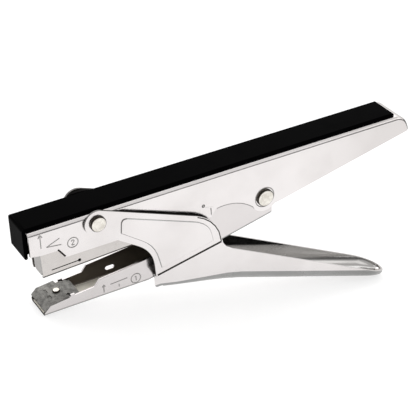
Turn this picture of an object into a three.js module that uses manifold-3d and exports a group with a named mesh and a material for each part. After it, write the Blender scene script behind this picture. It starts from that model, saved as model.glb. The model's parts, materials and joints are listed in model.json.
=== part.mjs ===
// Plier stapler: nickel-plated sheet pressings, a black plastic top, a squeezed lower handle.
// Millimetres. Each piece is drawn in the bar frame: X runs along the top bar from nose to tail,
// Y is across it, Z is up, and Z = 0 is the flat top of the plastic cap. The finished group is
// then tipped until the jaw's front edge and the handle's tip both stand on the ground.

import * as THREE from 'three';
import { mergeVertices } from 'three/addons/utils/BufferGeometryUtils.js';
import Module from 'manifold-3d';

const wasm = await Module();
wasm.setup();

// ---- Driving dimensions ---------------------------------------------------------------------

const RAD = Math.PI / 180;

// Across the tool: each pressing nests inside the next with a running gap.
const BODY = { half: 7.8, sheet: 0.9, bend: 1.3, front: 1.4, rear: 158.3, top: -1.3 };
const HANDLE = { half: 6.75, sheet: 0.8, front: 47.9, tip: 153.8 };
const GRIP_BEND = { front: 2.2, rear: 4.9, from: 55, to: 84 };   // the floor's bends widen with X
const JAW = { half: 5.8, sheet: 0.8, bend: 1.1, front: 5, rear: 97.8, sole: -37.6 };
const MAGAZINE = { half: 4.7, sheet: 0.7, bend: 1, front: -87.3, floor: -2.5, wallTop: 7 };
const EAR = { inner: 8.05, sheet: 0.8, radius: 4.8, flare: 0.02 };
const CAP = { half: 6, rear: 152, noseDepth: 11.9, noseThick: 1.2, edge: 0.5 };

// Pivots, as [x, z] in the bar frame.
const FRONT_PIVOT = [26.3, -4.5];
const REAR_PIVOT = [93.6, -16.9];
const FRONT_RIVET = { shank: 1.5, head: 2.95, headThick: 1.05, tube: 2.15 };
const REAR_RIVET = { shank: 2, head: 3.35, headThick: 1, bush: 2.8 };

const PIN_PLAY = 0.08;    // radial, round pins in their holes
const SIDE_GAP = 0.1;     // between faces that lie against each other
const MAGAZINE_TILT = 2.23 * RAD;

// Driver blade and the slot that it strikes through, as X in the bar frame.
const BLADE = { front: 7.6, thick: 0.5, half: 3.2, bottom: -17.4 };
const DRIVER_RIVET = { height: -5.8, shank: 1, head: 1.7, headThick: 0.7 };
const DRIVER_BLOCK = { half: 3.6, length: 4, bottom: -9 };

// Inside the magazine, measured from the rear pivot along the magazine floor.
const STAPLE = { half: 3.55, leg: 4, wire: 0.5, front: -85.1, length: 24 };
const RAIL = { half: 2.7, height: 3.4, front: -84.9, rear: -28.5 };
const PUSHER = { half: 3.8, length: 7.5, height: 8 };
const ROD = { radius: 0.65, height: 4.2, rear: -24 };
const ABUTMENT = { front: -31, thick: 2.4 };
const YOKE = { half: 3.8, sheet: 0.6, front: -26, top: 6.4 };

const NICKEL = { color: 0xdedad6, roughness: 0.16, metalness: 1 };
const STEEL = { color: 0x8d8f92, roughness: 0.35, metalness: 1 };
const DARK_STEEL = { color: 0x55585a, roughness: 0.55, metalness: 0.9 };
const BLACK_PLASTIC = { color: 0x0b0b0c, roughness: 0.5, metalness: 0 };
const CREAM_NICKEL = { color: 0xd9d2bd, roughness: 0.3, metalness: 1 };
const GREY_NYLON = { color: 0x6c6f73, roughness: 0.6, metalness: 0 };

// ---- Solids ---------------------------------------------------------------------------------

/** A closed three.js geometry as a manifold solid. */
function solid(geometry) {
  const bare = geometry.clone();
  bare.deleteAttribute('normal');
  bare.deleteAttribute('uv');
  const merged = mergeVertices(bare, 1e-5);
  return new wasm.Manifold(new wasm.Mesh({
    numProp: 3,
    vertProperties: new Float32Array(merged.attributes.position.array),
    triVerts: new Uint32Array(merged.index.array),
  }));
}

/** The three.js geometry of a manifold solid. */
function geometryOf(shape) {
  const mesh = shape.getMesh();
  const geometry = new THREE.BufferGeometry();
  geometry.setAttribute('position', new THREE.BufferAttribute(new Float32Array(mesh.vertProperties), 3));
  geometry.setIndex(new THREE.BufferAttribute(new Uint32Array(mesh.triVerts), 1));
  geometry.computeVertexNormals();
  return geometry;
}

const joined = (...solids) => solids.reduce((all, next) => all.add(next));
const cut = (body, ...tools) => tools.reduce((left, tool) => left.subtract(tool), body);

/** A shape from straight edges between [x, z] points. */
const polygon = (points) => new THREE.Shape(points.map(([x, z]) => new THREE.Vector2(x, z)));

/** A side outline in X and Z, extruded across the tool from y0 to y1, with rounded side edges. */
function slab(shape, y0, y1, round = 0, steps = 12, roundSteps = 4) {
  const geometry = new THREE.ExtrudeGeometry(shape, {
    depth: y1 - y0 - 2 * round,
    curveSegments: steps,
    bevelEnabled: round > 0,
    bevelThickness: round,
    bevelSize: round,
    bevelOffset: -round,
    bevelSegments: roundSteps,
  });
  geometry.rotateX(Math.PI / 2);
  geometry.translate(0, y1 - round, 0);
  return solid(geometry);
}

/** A top-view outline in X and Y, extruded upward from z0 to z1. */
function planSlab(shape, z0, z1, steps = 6) {
  const geometry = new THREE.ExtrudeGeometry(shape, {
    depth: z1 - z0,
    curveSegments: steps,
    bevelEnabled: false,
  });
  geometry.translate(0, 0, z0);
  return solid(geometry);
}

/** An end-view outline in Y and Z, extruded along the tool from x0 to x1. */
function endSlab(shape, x0, x1, steps = 5) {
  const geometry = new THREE.ExtrudeGeometry(shape, {
    depth: x1 - x0,
    curveSegments: steps,
    bevelEnabled: false,
  });
  geometry.rotateX(Math.PI / 2);
  geometry.rotateZ(Math.PI / 2);
  geometry.translate(x0, 0, 0);
  return solid(geometry);
}

/** A box between two corners. */
function block([x0, y0, z0], [x1, y1, z1]) {
  const geometry = new THREE.BoxGeometry(x1 - x0, y1 - y0, z1 - z0);
  geometry.translate((x0 + x1) / 2, (y0 + y1) / 2, (z0 + z1) / 2);
  return solid(geometry);
}

/** A round bar across the tool, centred on [x, z]. */
function crossBar([x, z], radius, y0, y1, sides = 24) {
  const geometry = new THREE.CylinderGeometry(radius, radius, y1 - y0, sides);
  geometry.translate(x, (y0 + y1) / 2, z);
  return solid(geometry);
}

/** An upright round bar. */
function post(x, y, radius, z0, z1, sides = 20) {
  const geometry = new THREE.CylinderGeometry(radius, radius, z1 - z0, sides);
  geometry.rotateX(Math.PI / 2);
  geometry.translate(x, y, (z0 + z1) / 2);
  return solid(geometry);
}

/** A solid turned about the axis across the tool through [x, z], from a profile of [radius, y]. */
function turned([x, z], profile, sides = 28) {
  const points = profile.map(([radius, y]) => new THREE.Vector2(radius, y));
  const geometry = new THREE.LatheGeometry(points, sides);
  geometry.translate(x, 0, z);
  return solid(geometry);
}

/** Joins equal rings of points, given front to back, into a closed solid with flat ends. */
function loft(rings) {
  const count = rings[0].length;
  const index = [];
  for (let i = 0; i < rings.length - 1; i += 1) {
    for (let j = 0; j < count; j += 1) {
      const a = i * count + j;
      const b = i * count + (j + 1) % count;
      index.push(a, b, a + count, b, b + count, a + count);
    }
  }
  const last = (rings.length - 1) * count;
  for (let j = 1; j < count - 1; j += 1) {
    index.push(0, j + 1, j);
    index.push(last, last + j, last + j + 1);
  }
  const geometry = new THREE.BufferGeometry();
  geometry.setAttribute('position', new THREE.Float32BufferAttribute(rings.flat(2), 3));
  geometry.setIndex(index);
  return solid(geometry);
}

/** A round wire along a curve. */
function wire(path, radius, steps, sides = 6) {
  const section = new THREE.Shape();
  section.absarc(0, 0, radius, 0, 2 * Math.PI);
  return new THREE.ExtrudeGeometry(section, {
    steps,
    curveSegments: sides / 2,
    bevelEnabled: false,
    extrudePath: path,
  });
}

// ---- Upper body -----------------------------------------------------------------------------

const BODY_EDGE = { front: -10.3, throat: -14.6, notchX: 11.4 };
const RELIEF = { centre: [76.5, -32.5], radius: 17.5, from: 72.8, to: 89.1 };
const BOSS_RADIUS = 5.8;
const TAIL_EDGE = { from: [100.3, -20.5], to: [157.4, -8.2] };

/** Angle of the relief arc at a given X. */
const reliefAngle = (x) => Math.acos((x - RELIEF.centre[0]) / RELIEF.radius);

/** The side view of the upper body: cut-out for the handle, boss at the rear pivot, long tail. */
function bodyOutline() {
  const { front, rear, top } = BODY;
  const shape = new THREE.Shape();
  shape.moveTo(front, top + 1);
  shape.lineTo(front, BODY_EDGE.front);
  shape.lineTo(5.3, -10.9);
  shape.lineTo(BODY_EDGE.notchX, -11);
  shape.lineTo(13.8, BODY_EDGE.throat);
  shape.lineTo(60, BODY_EDGE.throat);
  shape.quadraticCurveTo(66, BODY_EDGE.throat, 69.4, -17.5);
  shape.lineTo(71.1, -18);
  const [cx, cz] = RELIEF.centre;
  shape.absarc(cx, cz, RELIEF.radius, reliefAngle(RELIEF.from), reliefAngle(RELIEF.to), true);
  const [px, pz] = REAR_PIVOT;
  shape.absarc(px, pz, BOSS_RADIUS, Math.PI + 39 * RAD, 2 * Math.PI - 44 * RAD, false);
  shape.lineTo(...TAIL_EDGE.from);
  shape.lineTo(...TAIL_EDGE.to);
  shape.lineTo(rear, -7.3);
  shape.lineTo(rear + 1, top + 1);
  return shape;
}

/** The outside or inside of the bent sheet: flat top that rolls down over the tail. */
function bodyTrough(inset) {
  const top = BODY.top - inset;
  const rear = BODY.rear - inset;
  const shape = new THREE.Shape();
  shape.moveTo(-10, -60);
  shape.lineTo(-10, top);
  shape.lineTo(152.6, top);
  shape.quadraticCurveTo(156.8 - inset, top - 0.3, rear, -7.4);
  shape.lineTo(rear, -60);
  return shape;
}

function upperBody() {
  const { half, sheet, bend } = BODY;
  const shell = cut(
    slab(bodyTrough(0), -half, half, bend),
    slab(bodyTrough(sheet), -half + sheet, half - sheet, bend - sheet + 0.1, 12, 2),
  );
  const pressed = shell.intersect(slab(bodyOutline(), -half - 1, half + 1, 0, 20));
  return cut(
    pressed,
    crossBar(FRONT_PIVOT, FRONT_RIVET.shank + PIN_PLAY, -half - 1, half + 1),
    crossBar(REAR_PIVOT, REAR_RIVET.shank + PIN_PLAY, -half - 1, half + 1),
  );
}

// ---- Cap, driver ----------------------------------------------------------------------------

/** Black plastic strip over the bar, turned down at the front into the nose. */
function topCap() {
  const { half, rear, noseDepth, noseThick, edge } = CAP;
  const underside = BODY.top + SIDE_GAP;
  const shape = new THREE.Shape();
  shape.moveTo(rear, underside);
  shape.lineTo(noseThick, underside);
  shape.lineTo(noseThick, -noseDepth + 0.8);
  shape.quadraticCurveTo(noseThick, -noseDepth, 0.5, -noseDepth);
  shape.quadraticCurveTo(0, -noseDepth, 0, -noseDepth + 0.8);
  shape.lineTo(0, -1.2);
  shape.quadraticCurveTo(0, 0, 1.4, 0);
  shape.lineTo(rear - 0.8, 0);
  shape.quadraticCurveTo(rear, 0, rear, -0.6);
  const end = new THREE.Shape();
  end.moveTo(-half, -20);
  end.lineTo(half, -20);
  end.absarc(half - edge, -edge, edge, 0, Math.PI / 2, false);
  end.absarc(-half + edge, -edge, edge, Math.PI / 2, Math.PI, false);
  const plan = new THREE.Shape();
  plan.moveTo(rear + 1, half + 1);
  plan.lineTo(2, half + 1);
  plan.lineTo(2, half);
  plan.absarc(edge, half - edge, edge, Math.PI / 2, Math.PI, false);
  plan.absarc(edge, -half + edge, edge, Math.PI, 1.5 * Math.PI, false);
  plan.lineTo(2, -half);
  plan.lineTo(2, -half - 1);
  plan.lineTo(rear + 1, -half - 1);
  const strip = slab(shape, -half, half, 0, 5)
    .intersect(endSlab(end, -1, rear + 1))
    .intersect(planSlab(plan, -20, 1));
  const plug = block([noseThick - 0.1, -half + 0.6, -noseDepth + 1.6], [3.3, half - 0.6, -2.6]);
  return joined(strip, plug);
}

const DRIVER_TOP = BODY.top - BODY.sheet - SIDE_GAP;

/** Steel block fixed under the bar, which backs the driver blade. */
function driverBlock() {
  const { half, length, bottom } = DRIVER_BLOCK;
  const front = BLADE.front + BLADE.thick + SIDE_GAP;
  const body = block([front, -half, bottom], [front + length, half, DRIVER_TOP]);
  return cut(body, driverRivetHole(front - 1, front + length + 1));
}

/** The hole for the driver rivet, lengthwise. */
function driverRivetHole(x0, x1) {
  return lengthwiseBar(x0, x1, 0, DRIVER_RIVET.height, DRIVER_RIVET.shank + PIN_PLAY);
}

/** A round bar along the tool. */
function lengthwiseBar(x0, x1, y, z, radius, sides = 20) {
  const geometry = new THREE.CylinderGeometry(radius, radius, x1 - x0, sides);
  geometry.rotateZ(Math.PI / 2);
  geometry.translate((x0 + x1) / 2, y, z);
  return solid(geometry);
}

function driverBlade() {
  const { front, thick, half, bottom } = BLADE;
  const blade = block([front, -half, bottom], [front + thick, half, DRIVER_TOP]);
  return cut(blade, driverRivetHole(front - 1, front + 2));
}

/** Rivet ground flush with the blade's front face, headed behind the block. */
function driverRivet() {
  const { height, shank, head, headThick } = DRIVER_RIVET;
  const rear = BLADE.front + BLADE.thick + SIDE_GAP + DRIVER_BLOCK.length + SIDE_GAP;
  return joined(
    lengthwiseBar(BLADE.front, rear + headThick / 2, 0, height, shank),
    lengthwiseBar(rear, rear + headThick, 0, height, head),
  );
}

// ---- Pivots ---------------------------------------------------------------------------------

/** A rivet across the tool with a chamfered head at each end. */
function crossRivet(pivot, { shank, head, headThick }, seat) {
  const end = seat + headThick;
  const chamfer = 0.25;
  return turned(pivot, [
    [0, -end], [head - chamfer, -end], [head, -end + chamfer], [head, -seat], [shank, -seat],
    [shank, seat], [head, seat], [head, end - chamfer], [head - chamfer, end], [0, end],
  ]);
}

/** A plain tube between the bar walls, round a rivet shank. */
function crossTube(pivot, outer, shank) {
  const half = BODY.half - BODY.sheet - SIDE_GAP;
  const bore = crossBar(pivot, shank + PIN_PLAY, -half - 1, half + 1);
  return cut(crossBar(pivot, outer, -half, half), bore);
}

const WASHER_RADIUS = 3.5;

/** Washer between the jaw wall and the bar wall, on the bush. */
function pivotWasher(side) {
  const y0 = JAW.half + 0.2;
  const y1 = BODY.half - BODY.sheet - SIDE_GAP;
  const span = side > 0 ? [y0, y1] : [-y1, -y0];
  return cut(
    crossBar(REAR_PIVOT, WASHER_RADIUS, ...span),
    crossBar(REAR_PIVOT, REAR_RIVET.bush + PIN_PLAY, -10, 10),
  );
}

const SPRING = { coil: 3.45, wire: 0.45, turns: 2.71, pitch: 1.4, leg: 27.2, legShare: 0.08 };

/** Torsion spring: one leg up under the bar, the coil round the bush, one leg down in the jaw. */
class TorsionSpringPath extends THREE.Curve {
  getPoint(t, target = new THREE.Vector3()) {
    const { coil, turns, pitch, leg, legShare } = SPRING;
    const [px, pz] = REAR_PIVOT;
    const along = THREE.MathUtils.clamp((t - legShare) / (1 - 2 * legShare), 0, 1);
    const angle = 231.5 * RAD + along * turns * 2 * Math.PI;
    const y = (along - 0.5) * turns * pitch;
    const overrun = t < legShare ? t - legShare : Math.max(0, t - 1 + legShare);
    const reach = leg * overrun / legShare;
    return target.set(
      px + coil * Math.cos(angle) - reach * Math.sin(angle),
      y,
      pz + coil * Math.sin(angle) + reach * Math.cos(angle),
    );
  }
}

// ---- Lower handle ---------------------------------------------------------------------------

const JOGGLE = { front: [47.2, -34], rear: [74.3, -28.3] };
const TIP_LENGTH = 9;

/** Height of the outside of the handle's floor at x: curved below the ears, then straight. */
function handleFloor(x) {
  const curveFrom = 50;
  const curveTo = 90;
  if (x <= curveFrom) return -42;
  const slope = x < curveTo ? 0.24 + 0.123 * (x - curveFrom) / (curveTo - curveFrom) / 2 : 0;
  if (x < curveTo) return -42 - slope * (x - curveFrom);
  return -54.06 - 0.362 * (x - curveTo);
}

/** Rings of a round-bottomed trough that closes in a rounded tip. */
function handleTrough(inset) {
  const rings = [];
  const tipFrom = HANDLE.tip - TIP_LENGTH;
  const stations = [44, 50, 57, 64, 71, 78, 84, 90, 118, tipFrom].map((x) => [x, 1, 0]);
  for (let i = 1; i <= 7; i += 1) {
    const angle = i * 12.2 * RAD;
    const x = tipFrom + (TIP_LENGTH - inset) * Math.sin(angle);
    stations.push([x, Math.cos(angle), 1.3 * Math.sin(angle) ** 6]);
  }
  for (const [x, width, lift] of stations) {
    const half = (HANDLE.half - inset) * width;
    const grown = THREE.MathUtils.smoothstep(x, GRIP_BEND.from, GRIP_BEND.to);
    const bend = GRIP_BEND.front + (GRIP_BEND.rear - GRIP_BEND.front) * grown;
    const radius = Math.min(bend - inset, half * 0.8);
    const floor = handleFloor(x) + inset + lift;
    rings.push(troughRing(x, half, floor, radius));
  }
  return loft(rings);
}

/** A U-shaped ring, open side up, at one X. */
function troughRing(x, half, floor, radius, top = -12, steps = 4) {
  const ring = [[x, -half, top]];
  for (let i = 0; i <= steps; i += 1) {
    const angle = (i / steps) * Math.PI / 2;
    ring.push([x, -half + radius * (1 - Math.cos(angle)), floor + radius * (1 - Math.sin(angle))]);
  }
  for (let i = steps; i >= 0; i -= 1) {
    const angle = (i / steps) * Math.PI / 2;
    ring.push([x, half - radius * (1 - Math.cos(angle)), floor + radius * (1 - Math.sin(angle))]);
  }
  ring.push([x, half, top]);
  return ring;
}

/** The side view of the handle channel, from its front edge to the tip. */
function gripOutline() {
  const shape = new THREE.Shape();
  shape.moveTo(HANDLE.front, -36.2);
  shape.lineTo(HANDLE.front, -39.8);
  shape.quadraticCurveTo(HANDLE.front, -41.2, 49.4, -41.2);
  shape.lineTo(51, -41);
  shape.lineTo(52.6, -45);
  shape.lineTo(HANDLE.tip + 1, -82);
  shape.lineTo(HANDLE.tip + 1, -74.6);
  shape.lineTo(82.4, -36.6);
  shape.quadraticCurveTo(77.2, -34.2, 76.1, -30.6);
  return shape;
}

/** The side view of one ear plate, from the front pivot down to the joggle line. */
function earOutline() {
  const [px, pz] = FRONT_PIVOT;
  const shape = new THREE.Shape();
  shape.absarc(px, pz, EAR.radius, 68.5 * RAD, 275 * RAD, false);
  shape.lineTo(39.6, -18);
  shape.quadraticCurveTo(46.2, -22, 46.8, -28.5);
  shape.lineTo(...JOGGLE.front);
  shape.lineTo(...JOGGLE.rear);
  shape.lineTo(73.3, -23.8);
  shape.quadraticCurveTo(71.2, -17.1, 64, -14.1);
  return shape;
}

/** Leans the ears outward towards the rear: points outside the channel move with X. */
function flared(geometry, limit) {
  const { position } = geometry.attributes;
  for (let i = 0; i < position.count; i += 1) {
    const y = position.getY(i);
    const reach = Math.max(0, position.getX(i) - FRONT_PIVOT[0]);
    if (Math.abs(y) > limit) position.setY(i, y + Math.sign(y) * EAR.flare * reach);
  }
  return geometry;
}

/** The sloped web that steps the channel wall out to the ear, along the joggle line. */
function joggleWeb(side) {
  const drop = 1.7;
  const section = [
    [EAR_FACE, 0.8], [EAR_FACE, -0.35], [HANDLE.half, -drop], [HANDLE.half, -drop - 0.9],
    [HANDLE.half - HANDLE.sheet, -drop - 0.9], [HANDLE.half - HANDLE.sheet, -drop + 0.5],
    [EAR.inner, 0.35], [EAR.inner, 0.8],
  ];
  const lean = 0.2;
  const ringAt = ([x, z]) => section.map(([y, rise]) => (
    [x + lean * (section[0][1] - rise), side * y, z + rise]
  ));
  const rings = [JOGGLE.front, JOGGLE.rear].map(ringAt);
  return side > 0 ? rings.map((ring) => ring.reverse()) : rings;
}

/** A solid whose ends are not convex: rings joined, ends filled by shape triangulation. */
function prism(rings) {
  const count = rings[0].length;
  const flat = rings[0].map(([, y, z]) => new THREE.Vector2(y, z));
  const fill = THREE.ShapeUtils.triangulateShape(flat, []);
  const index = [];
  for (let j = 0; j < count; j += 1) {
    const next = (j + 1) % count;
    index.push(j, next, j + count, next, next + count, j + count);
  }
  for (const [a, b, c] of fill) {
    index.push(a, c, b);
    index.push(a + count, b + count, c + count);
  }
  const geometry = new THREE.BufferGeometry();
  geometry.setAttribute('position', new THREE.Float32BufferAttribute(rings.flat(2), 3));
  geometry.setIndex(index);
  return geometry;
}

const EAR_FACE = EAR.inner + EAR.sheet;
const PANEL_RISE = 0.35;

/** The raised panel pressed in each ear. */
function panelOutline() {
  const shape = new THREE.Shape();
  shape.moveTo(34.6, -11.4);
  shape.lineTo(34.9, -7.6);
  shape.quadraticCurveTo(35.2, -5.6, 37.2, -6.1);
  shape.lineTo(62.4, -15.8);
  shape.quadraticCurveTo(69.2, -18.2, 70, -23.4);
  shape.lineTo(70.6, -26.6);
  shape.lineTo(49.4, -31);
  shape.lineTo(48.6, -27.4);
  shape.quadraticCurveTo(47.4, -20.8, 42.4, -17.2);
  return shape;
}

/** One ear with its panel, leaning out towards the rear. */
function ear(side) {
  const faces = [EAR.inner, EAR_FACE];
  const panelFaces = [faces[1] - 0.2, faces[1] + PANEL_RISE];
  const [y0, y1] = side > 0 ? faces : [-faces[1], -faces[0]];
  const [p0, p1] = side > 0 ? panelFaces : [-panelFaces[1], -panelFaces[0]];
  const plate = slab(earOutline(), y0, y1, 0, 8);
  const panel = slab(panelOutline(), p0, p1, PANEL_RISE * 0.6, 5, 1);
  const web = solid(prism(joggleWeb(side)));
  const flat = joined(plate, panel, web);
  return solid(flared(geometryOf(flat), HANDLE.half + 0.5));
}

function lowerHandle() {
  const channel = cut(handleTrough(0), handleTrough(HANDLE.sheet));
  const grip = channel.intersect(slab(gripOutline(), -HANDLE.half - 1, HANDLE.half + 1, 0, 8));
  const pressed = joined(grip, ear(1), ear(-1));
  return cut(pressed, crossBar(FRONT_PIVOT, FRONT_RIVET.shank + PIN_PLAY, -12, 12));
}

/** Nylon saddle on the handle floor, which lifts the jaw lever when the handle is squeezed. */
function liftingBlock() {
  const floorAt = (x) => handleFloor(x) + HANDLE.sheet + 0.15;
  const top = jawSole(52.4) - 0.35;
  const shape = new THREE.Shape();
  shape.moveTo(50.5, floorAt(50.5));
  shape.lineTo(54.6, floorAt(54.6));
  shape.lineTo(54.2, top - 1.6);
  shape.quadraticCurveTo(54, top, 52.4, top);
  shape.quadraticCurveTo(50.8, top, 50.7, top - 1.6);
  return slab(shape, -4.3, 4.3, 0, 4);
}

// ---- Lower jaw ------------------------------------------------------------------------------

const ANVIL = {
  half: 6, tailHalf: 4.85, front: 5.1, rear: 19.3, thick: 0.6, lip: [7.1, -33.25], crest: 15.4,
  slope: 0.108, tailSlope: 0.27, rivetX: 12.3, shank: 1.1,
};
const ANVIL_HEAD = { top: 1.15, base: 1.6, thick: 0.3, seat: 0.2 };
const GROOVE = { at: 8.8, side: 1.9, radius: 1.9, depth: 0.4, width: 1.4 };
const SPACER = { front: 8.6, rear: 17.5, half: 3.6 };
const LUG = { front: 15.3, rear: 16.9, top: -32.2 };   // jaw wall lugs that locate the anvil
const JAW_KNEE = 46;
const JAW_RISE = 11.2;

/** Height of the outside of the jaw's floor at x. */
function jawSole(x) {
  if (x <= JAW_KNEE) return JAW.sole;
  return JAW.sole + (x - JAW_KNEE) * (JAW_RISE / (JAW.rear - JAW_KNEE));
}

/** The side view of the jaw lever: anvil seat, step, then up to the rear pivot. */
function jawOutline() {
  const [px, pz] = REAR_PIVOT;
  const { front, rear, sole } = JAW;
  const shape = new THREE.Shape();
  shape.moveTo(front, sole - 1);
  shape.lineTo(front, -36.2);
  shape.quadraticCurveTo(5.9, -35.6, 7.4, anvilSeat(7.4));
  shape.lineTo(LUG.front, anvilSeat(LUG.front));
  shape.lineTo(LUG.front, LUG.top);
  shape.lineTo(LUG.rear, LUG.top);
  shape.lineTo(LUG.rear, -32.9);
  shape.lineTo(24.6, -32.3);
  shape.lineTo(26.5, -29.9);
  shape.lineTo(47, -27.9);
  shape.lineTo(58, -26.6);
  shape.quadraticCurveTo(62, -26, 64, -22);
  shape.lineTo(69, -14);
  shape.quadraticCurveTo(70.6, -11.6, 74, -11.6);
  shape.lineTo(px, pz + 5);
  shape.absarc(px, pz, 5, Math.PI / 2, 0, true);
  shape.lineTo(rear + 0.2, -22);
  shape.lineTo(rear, jawSole(rear) - 1);
  shape.lineTo(JAW_KNEE, sole - 1);
  return shape;
}

/** The outside or inside of the jaw's bent sheet, open side up. */
function jawTrough(inset) {
  const { rear, sole } = JAW;
  return polygon([
    [-10, sole + inset], [JAW_KNEE, sole + inset], [rear + 20, jawSole(rear + 20) + inset],
    [rear + 20, 10], [-10, 10],
  ]);
}

function lowerJaw() {
  const { half, sheet, bend } = JAW;
  const shell = cut(
    slab(jawTrough(0), -half, half, bend),
    slab(jawTrough(sheet), -half + sheet, half - sheet, bend - sheet, 12, 1),
  );
  const pressed = shell.intersect(slab(jawOutline(), -half - 1, half + 1, 0, 10));
  const drainHole = new THREE.Shape();
  drainHole.absarc(34.6, -34.2, 0.8, Math.PI / 2, 3 * Math.PI / 2, false);
  drainHole.absarc(36.6, -34.2, 0.8, -Math.PI / 2, Math.PI / 2, false);
  return cut(
    pressed,
    crossBar(REAR_PIVOT, REAR_RIVET.bush + PIN_PLAY, -12, 12),
    slab(drainHole, half - sheet - 1, half + 1, 0, 6),
    post(ANVIL.rivetX, 0, ANVIL.shank + PIN_PLAY, -40, -36),
  );
}

// ---- Anvil ----------------------------------------------------------------------------------

/** Height of the anvil's top face at x: the bent front lip, the seat for the paper, the tail. */
function anvilTop(x) {
  const { lip, crest, slope, tailSlope } = ANVIL;
  if (x < lip[0]) return lip[1] - 0.97 * (lip[0] - x);
  if (x <= crest) return lip[1] + slope * (x - lip[0]);
  return lip[1] + slope * (crest - lip[0]) - tailSlope * (x - crest);
}

/** Height of the jaw wall's edge beneath the anvil plate. */
const anvilSeat = (x) => anvilTop(x) - ANVIL.thick - SIDE_GAP;

/** The groove that curls one staple leg. */
function clinchGroove(y) {
  const { at, radius, depth, width } = GROOVE;
  const geometry = new THREE.CylinderGeometry(radius, radius, width, 20);
  geometry.rotateZ(Math.PI / 2);
  geometry.translate(at, y, anvilTop(at) + radius - depth);
  return solid(geometry);
}

/** Hardened plate over the jaw walls: lip, clinch grooves, a notch in each side, a narrow tail. */
function anvilPlate() {
  const { half, tailHalf, front, rear, lip, crest, thick } = ANVIL;
  const side = polygon([
    [front, anvilTop(front)], lip, [crest, anvilTop(crest)], [rear, anvilTop(rear)],
    [rear, anvilTop(rear) - thick], [crest, anvilTop(crest) - thick], [lip[0] + 0.3, lip[1] - thick],
    [front + 0.1, anvilTop(front) - thick],
  ]);
  const notch = tailHalf - 0.6;
  const plan = polygon([
    [front - 1, -half], [LUG.front - 0.5, -half], [LUG.front - 0.3, -notch], [LUG.rear + 0.2, -notch],
    [LUG.rear + 0.3, -tailHalf], [rear + 1, -tailHalf], [rear + 1, tailHalf],
    [LUG.rear + 0.3, tailHalf], [LUG.rear + 0.2, notch], [LUG.front - 1.4, notch],
    [LUG.front - 1.6, half], [front - 1, half],
  ]);
  return cut(
    slab(side, -half, half).intersect(planSlab(plan, -40, -30)),
    clinchGroove(GROOVE.side),
    clinchGroove(-GROOVE.side),
    post(ANVIL.rivetX, 0, ANVIL.shank + PIN_PLAY, -40, -30),
    post(LUG.front - 0.4, -notch, 0.5, -40, -30, 12),
  );
}

function anvilSpacer() {
  const { front, rear, half } = SPACER;
  const floor = JAW.sole + JAW.sheet + SIDE_GAP;
  const side = polygon([
    [front, floor], [rear, floor], [rear, anvilSeat(rear)], [ANVIL.crest, anvilSeat(ANVIL.crest)],
    [front, anvilSeat(front)],
  ]);
  return cut(slab(side, -half, half), post(ANVIL.rivetX, 0, ANVIL.shank + PIN_PLAY, -40, -30));
}

function anvilRivet() {
  const { rivetX, shank } = ANVIL;
  const { top, base, thick, seat } = ANVIL_HEAD;
  const foot = anvilTop(rivetX) + seat;
  const head = new THREE.CylinderGeometry(top, base, thick, 20);
  head.rotateX(Math.PI / 2);
  head.translate(rivetX, 0, foot + thick / 2);
  return joined(post(rivetX, 0, shank, JAW.sole + 0.1, foot + thick / 2), solid(head));
}

// ---- Magazine, in its own frame: origin on the rear pivot, X along the floor -----------------

const SLOT = { front: -84, rear: -73.4, floor: -0.2, height: 0.4, hole: 0.65 };

const OPEN_REAR = -22;    // the channel has no floor behind this

/** The side view of the magazine channel. */
function magazineOutline() {
  const { front, floor, wallTop } = MAGAZINE;
  const shape = new THREE.Shape();
  shape.moveTo(front, floor - 1);
  shape.lineTo(front, 10.2);
  shape.lineTo(-82, 10.2);
  shape.lineTo(-79, wallTop);
  shape.lineTo(-6, wallTop);
  shape.absarc(0, 0, 4.6, Math.PI / 2, -Math.PI / 2, true);
  shape.lineTo(-6, -4.6);
  shape.lineTo(-9, floor - 1);
  return shape;
}

/** Keyhole slit in each wall: a narrow slot that ends in a small round hole. */
function wallSlit() {
  const { front, rear, floor, height, hole } = SLOT;
  const slot = block([front, -10, floor], [rear, 10, floor + height]);
  return joined(slot, crossBar([rear, floor + height / 2], hole, -10, 10, 14));
}

function magazineChannel() {
  const { half, sheet, bend, front, floor } = MAGAZINE;
  const outer = polygon([[-100, floor], [20, floor], [20, 20], [-100, 20]]);
  const inner = polygon([[-110, floor + sheet], [30, floor + sheet], [30, 30], [-110, 30]]);
  const shell = cut(
    slab(outer, -half, half, bend),
    slab(inner, -half + sheet, half - sheet, bend - sheet, 12, 1),
  );
  const pressed = shell.intersect(slab(magazineOutline(), -half - 1, half + 1, 0, 12));
  const inside = half - sheet - 0.3;
  return cut(
    pressed,
    wallSlit(),
    block([front - 1, -inside, floor - 1], [RAIL.front, inside, floor + 1.4]),
    block([OPEN_REAR, sheet - half, floor - 1], [10, half - sheet, floor + 1.4]),
    crossBar([0, 0], REAR_RIVET.bush + PIN_PLAY, -10, 10),
    crossBar(CATCH_PIN.at, CATCH_PIN.radius + PIN_PLAY, -10, 10, 12),
    post(RAIL_RIVET.x, 0, RAIL_RIVET.shank + PIN_PLAY, -6, 0, 14),
  );
}

/** Front plate between the channel walls: wide at the top, a round-cornered tongue below. */
function magazineFrontPlate() {
  const wide = MAGAZINE.half - MAGAZINE.sheet - SIDE_GAP;
  const tongue = 3.1;
  const shape = new THREE.Shape();
  shape.moveTo(-wide, 9.6);
  shape.lineTo(-wide, 3.4);
  shape.lineTo(-tongue, 2.6);
  shape.lineTo(-tongue, -1);
  shape.quadraticCurveTo(-tongue, -2.4, -tongue + 1.4, -2.4);
  shape.lineTo(tongue - 1.4, -2.4);
  shape.quadraticCurveTo(tongue, -2.4, tongue, -1);
  shape.lineTo(tongue, 2.6);
  shape.lineTo(wide, 3.4);
  shape.lineTo(wide, 9.6);
  return endSlab(shape, MAGAZINE.front + 0.2, MAGAZINE.front + 0.9);
}

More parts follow.
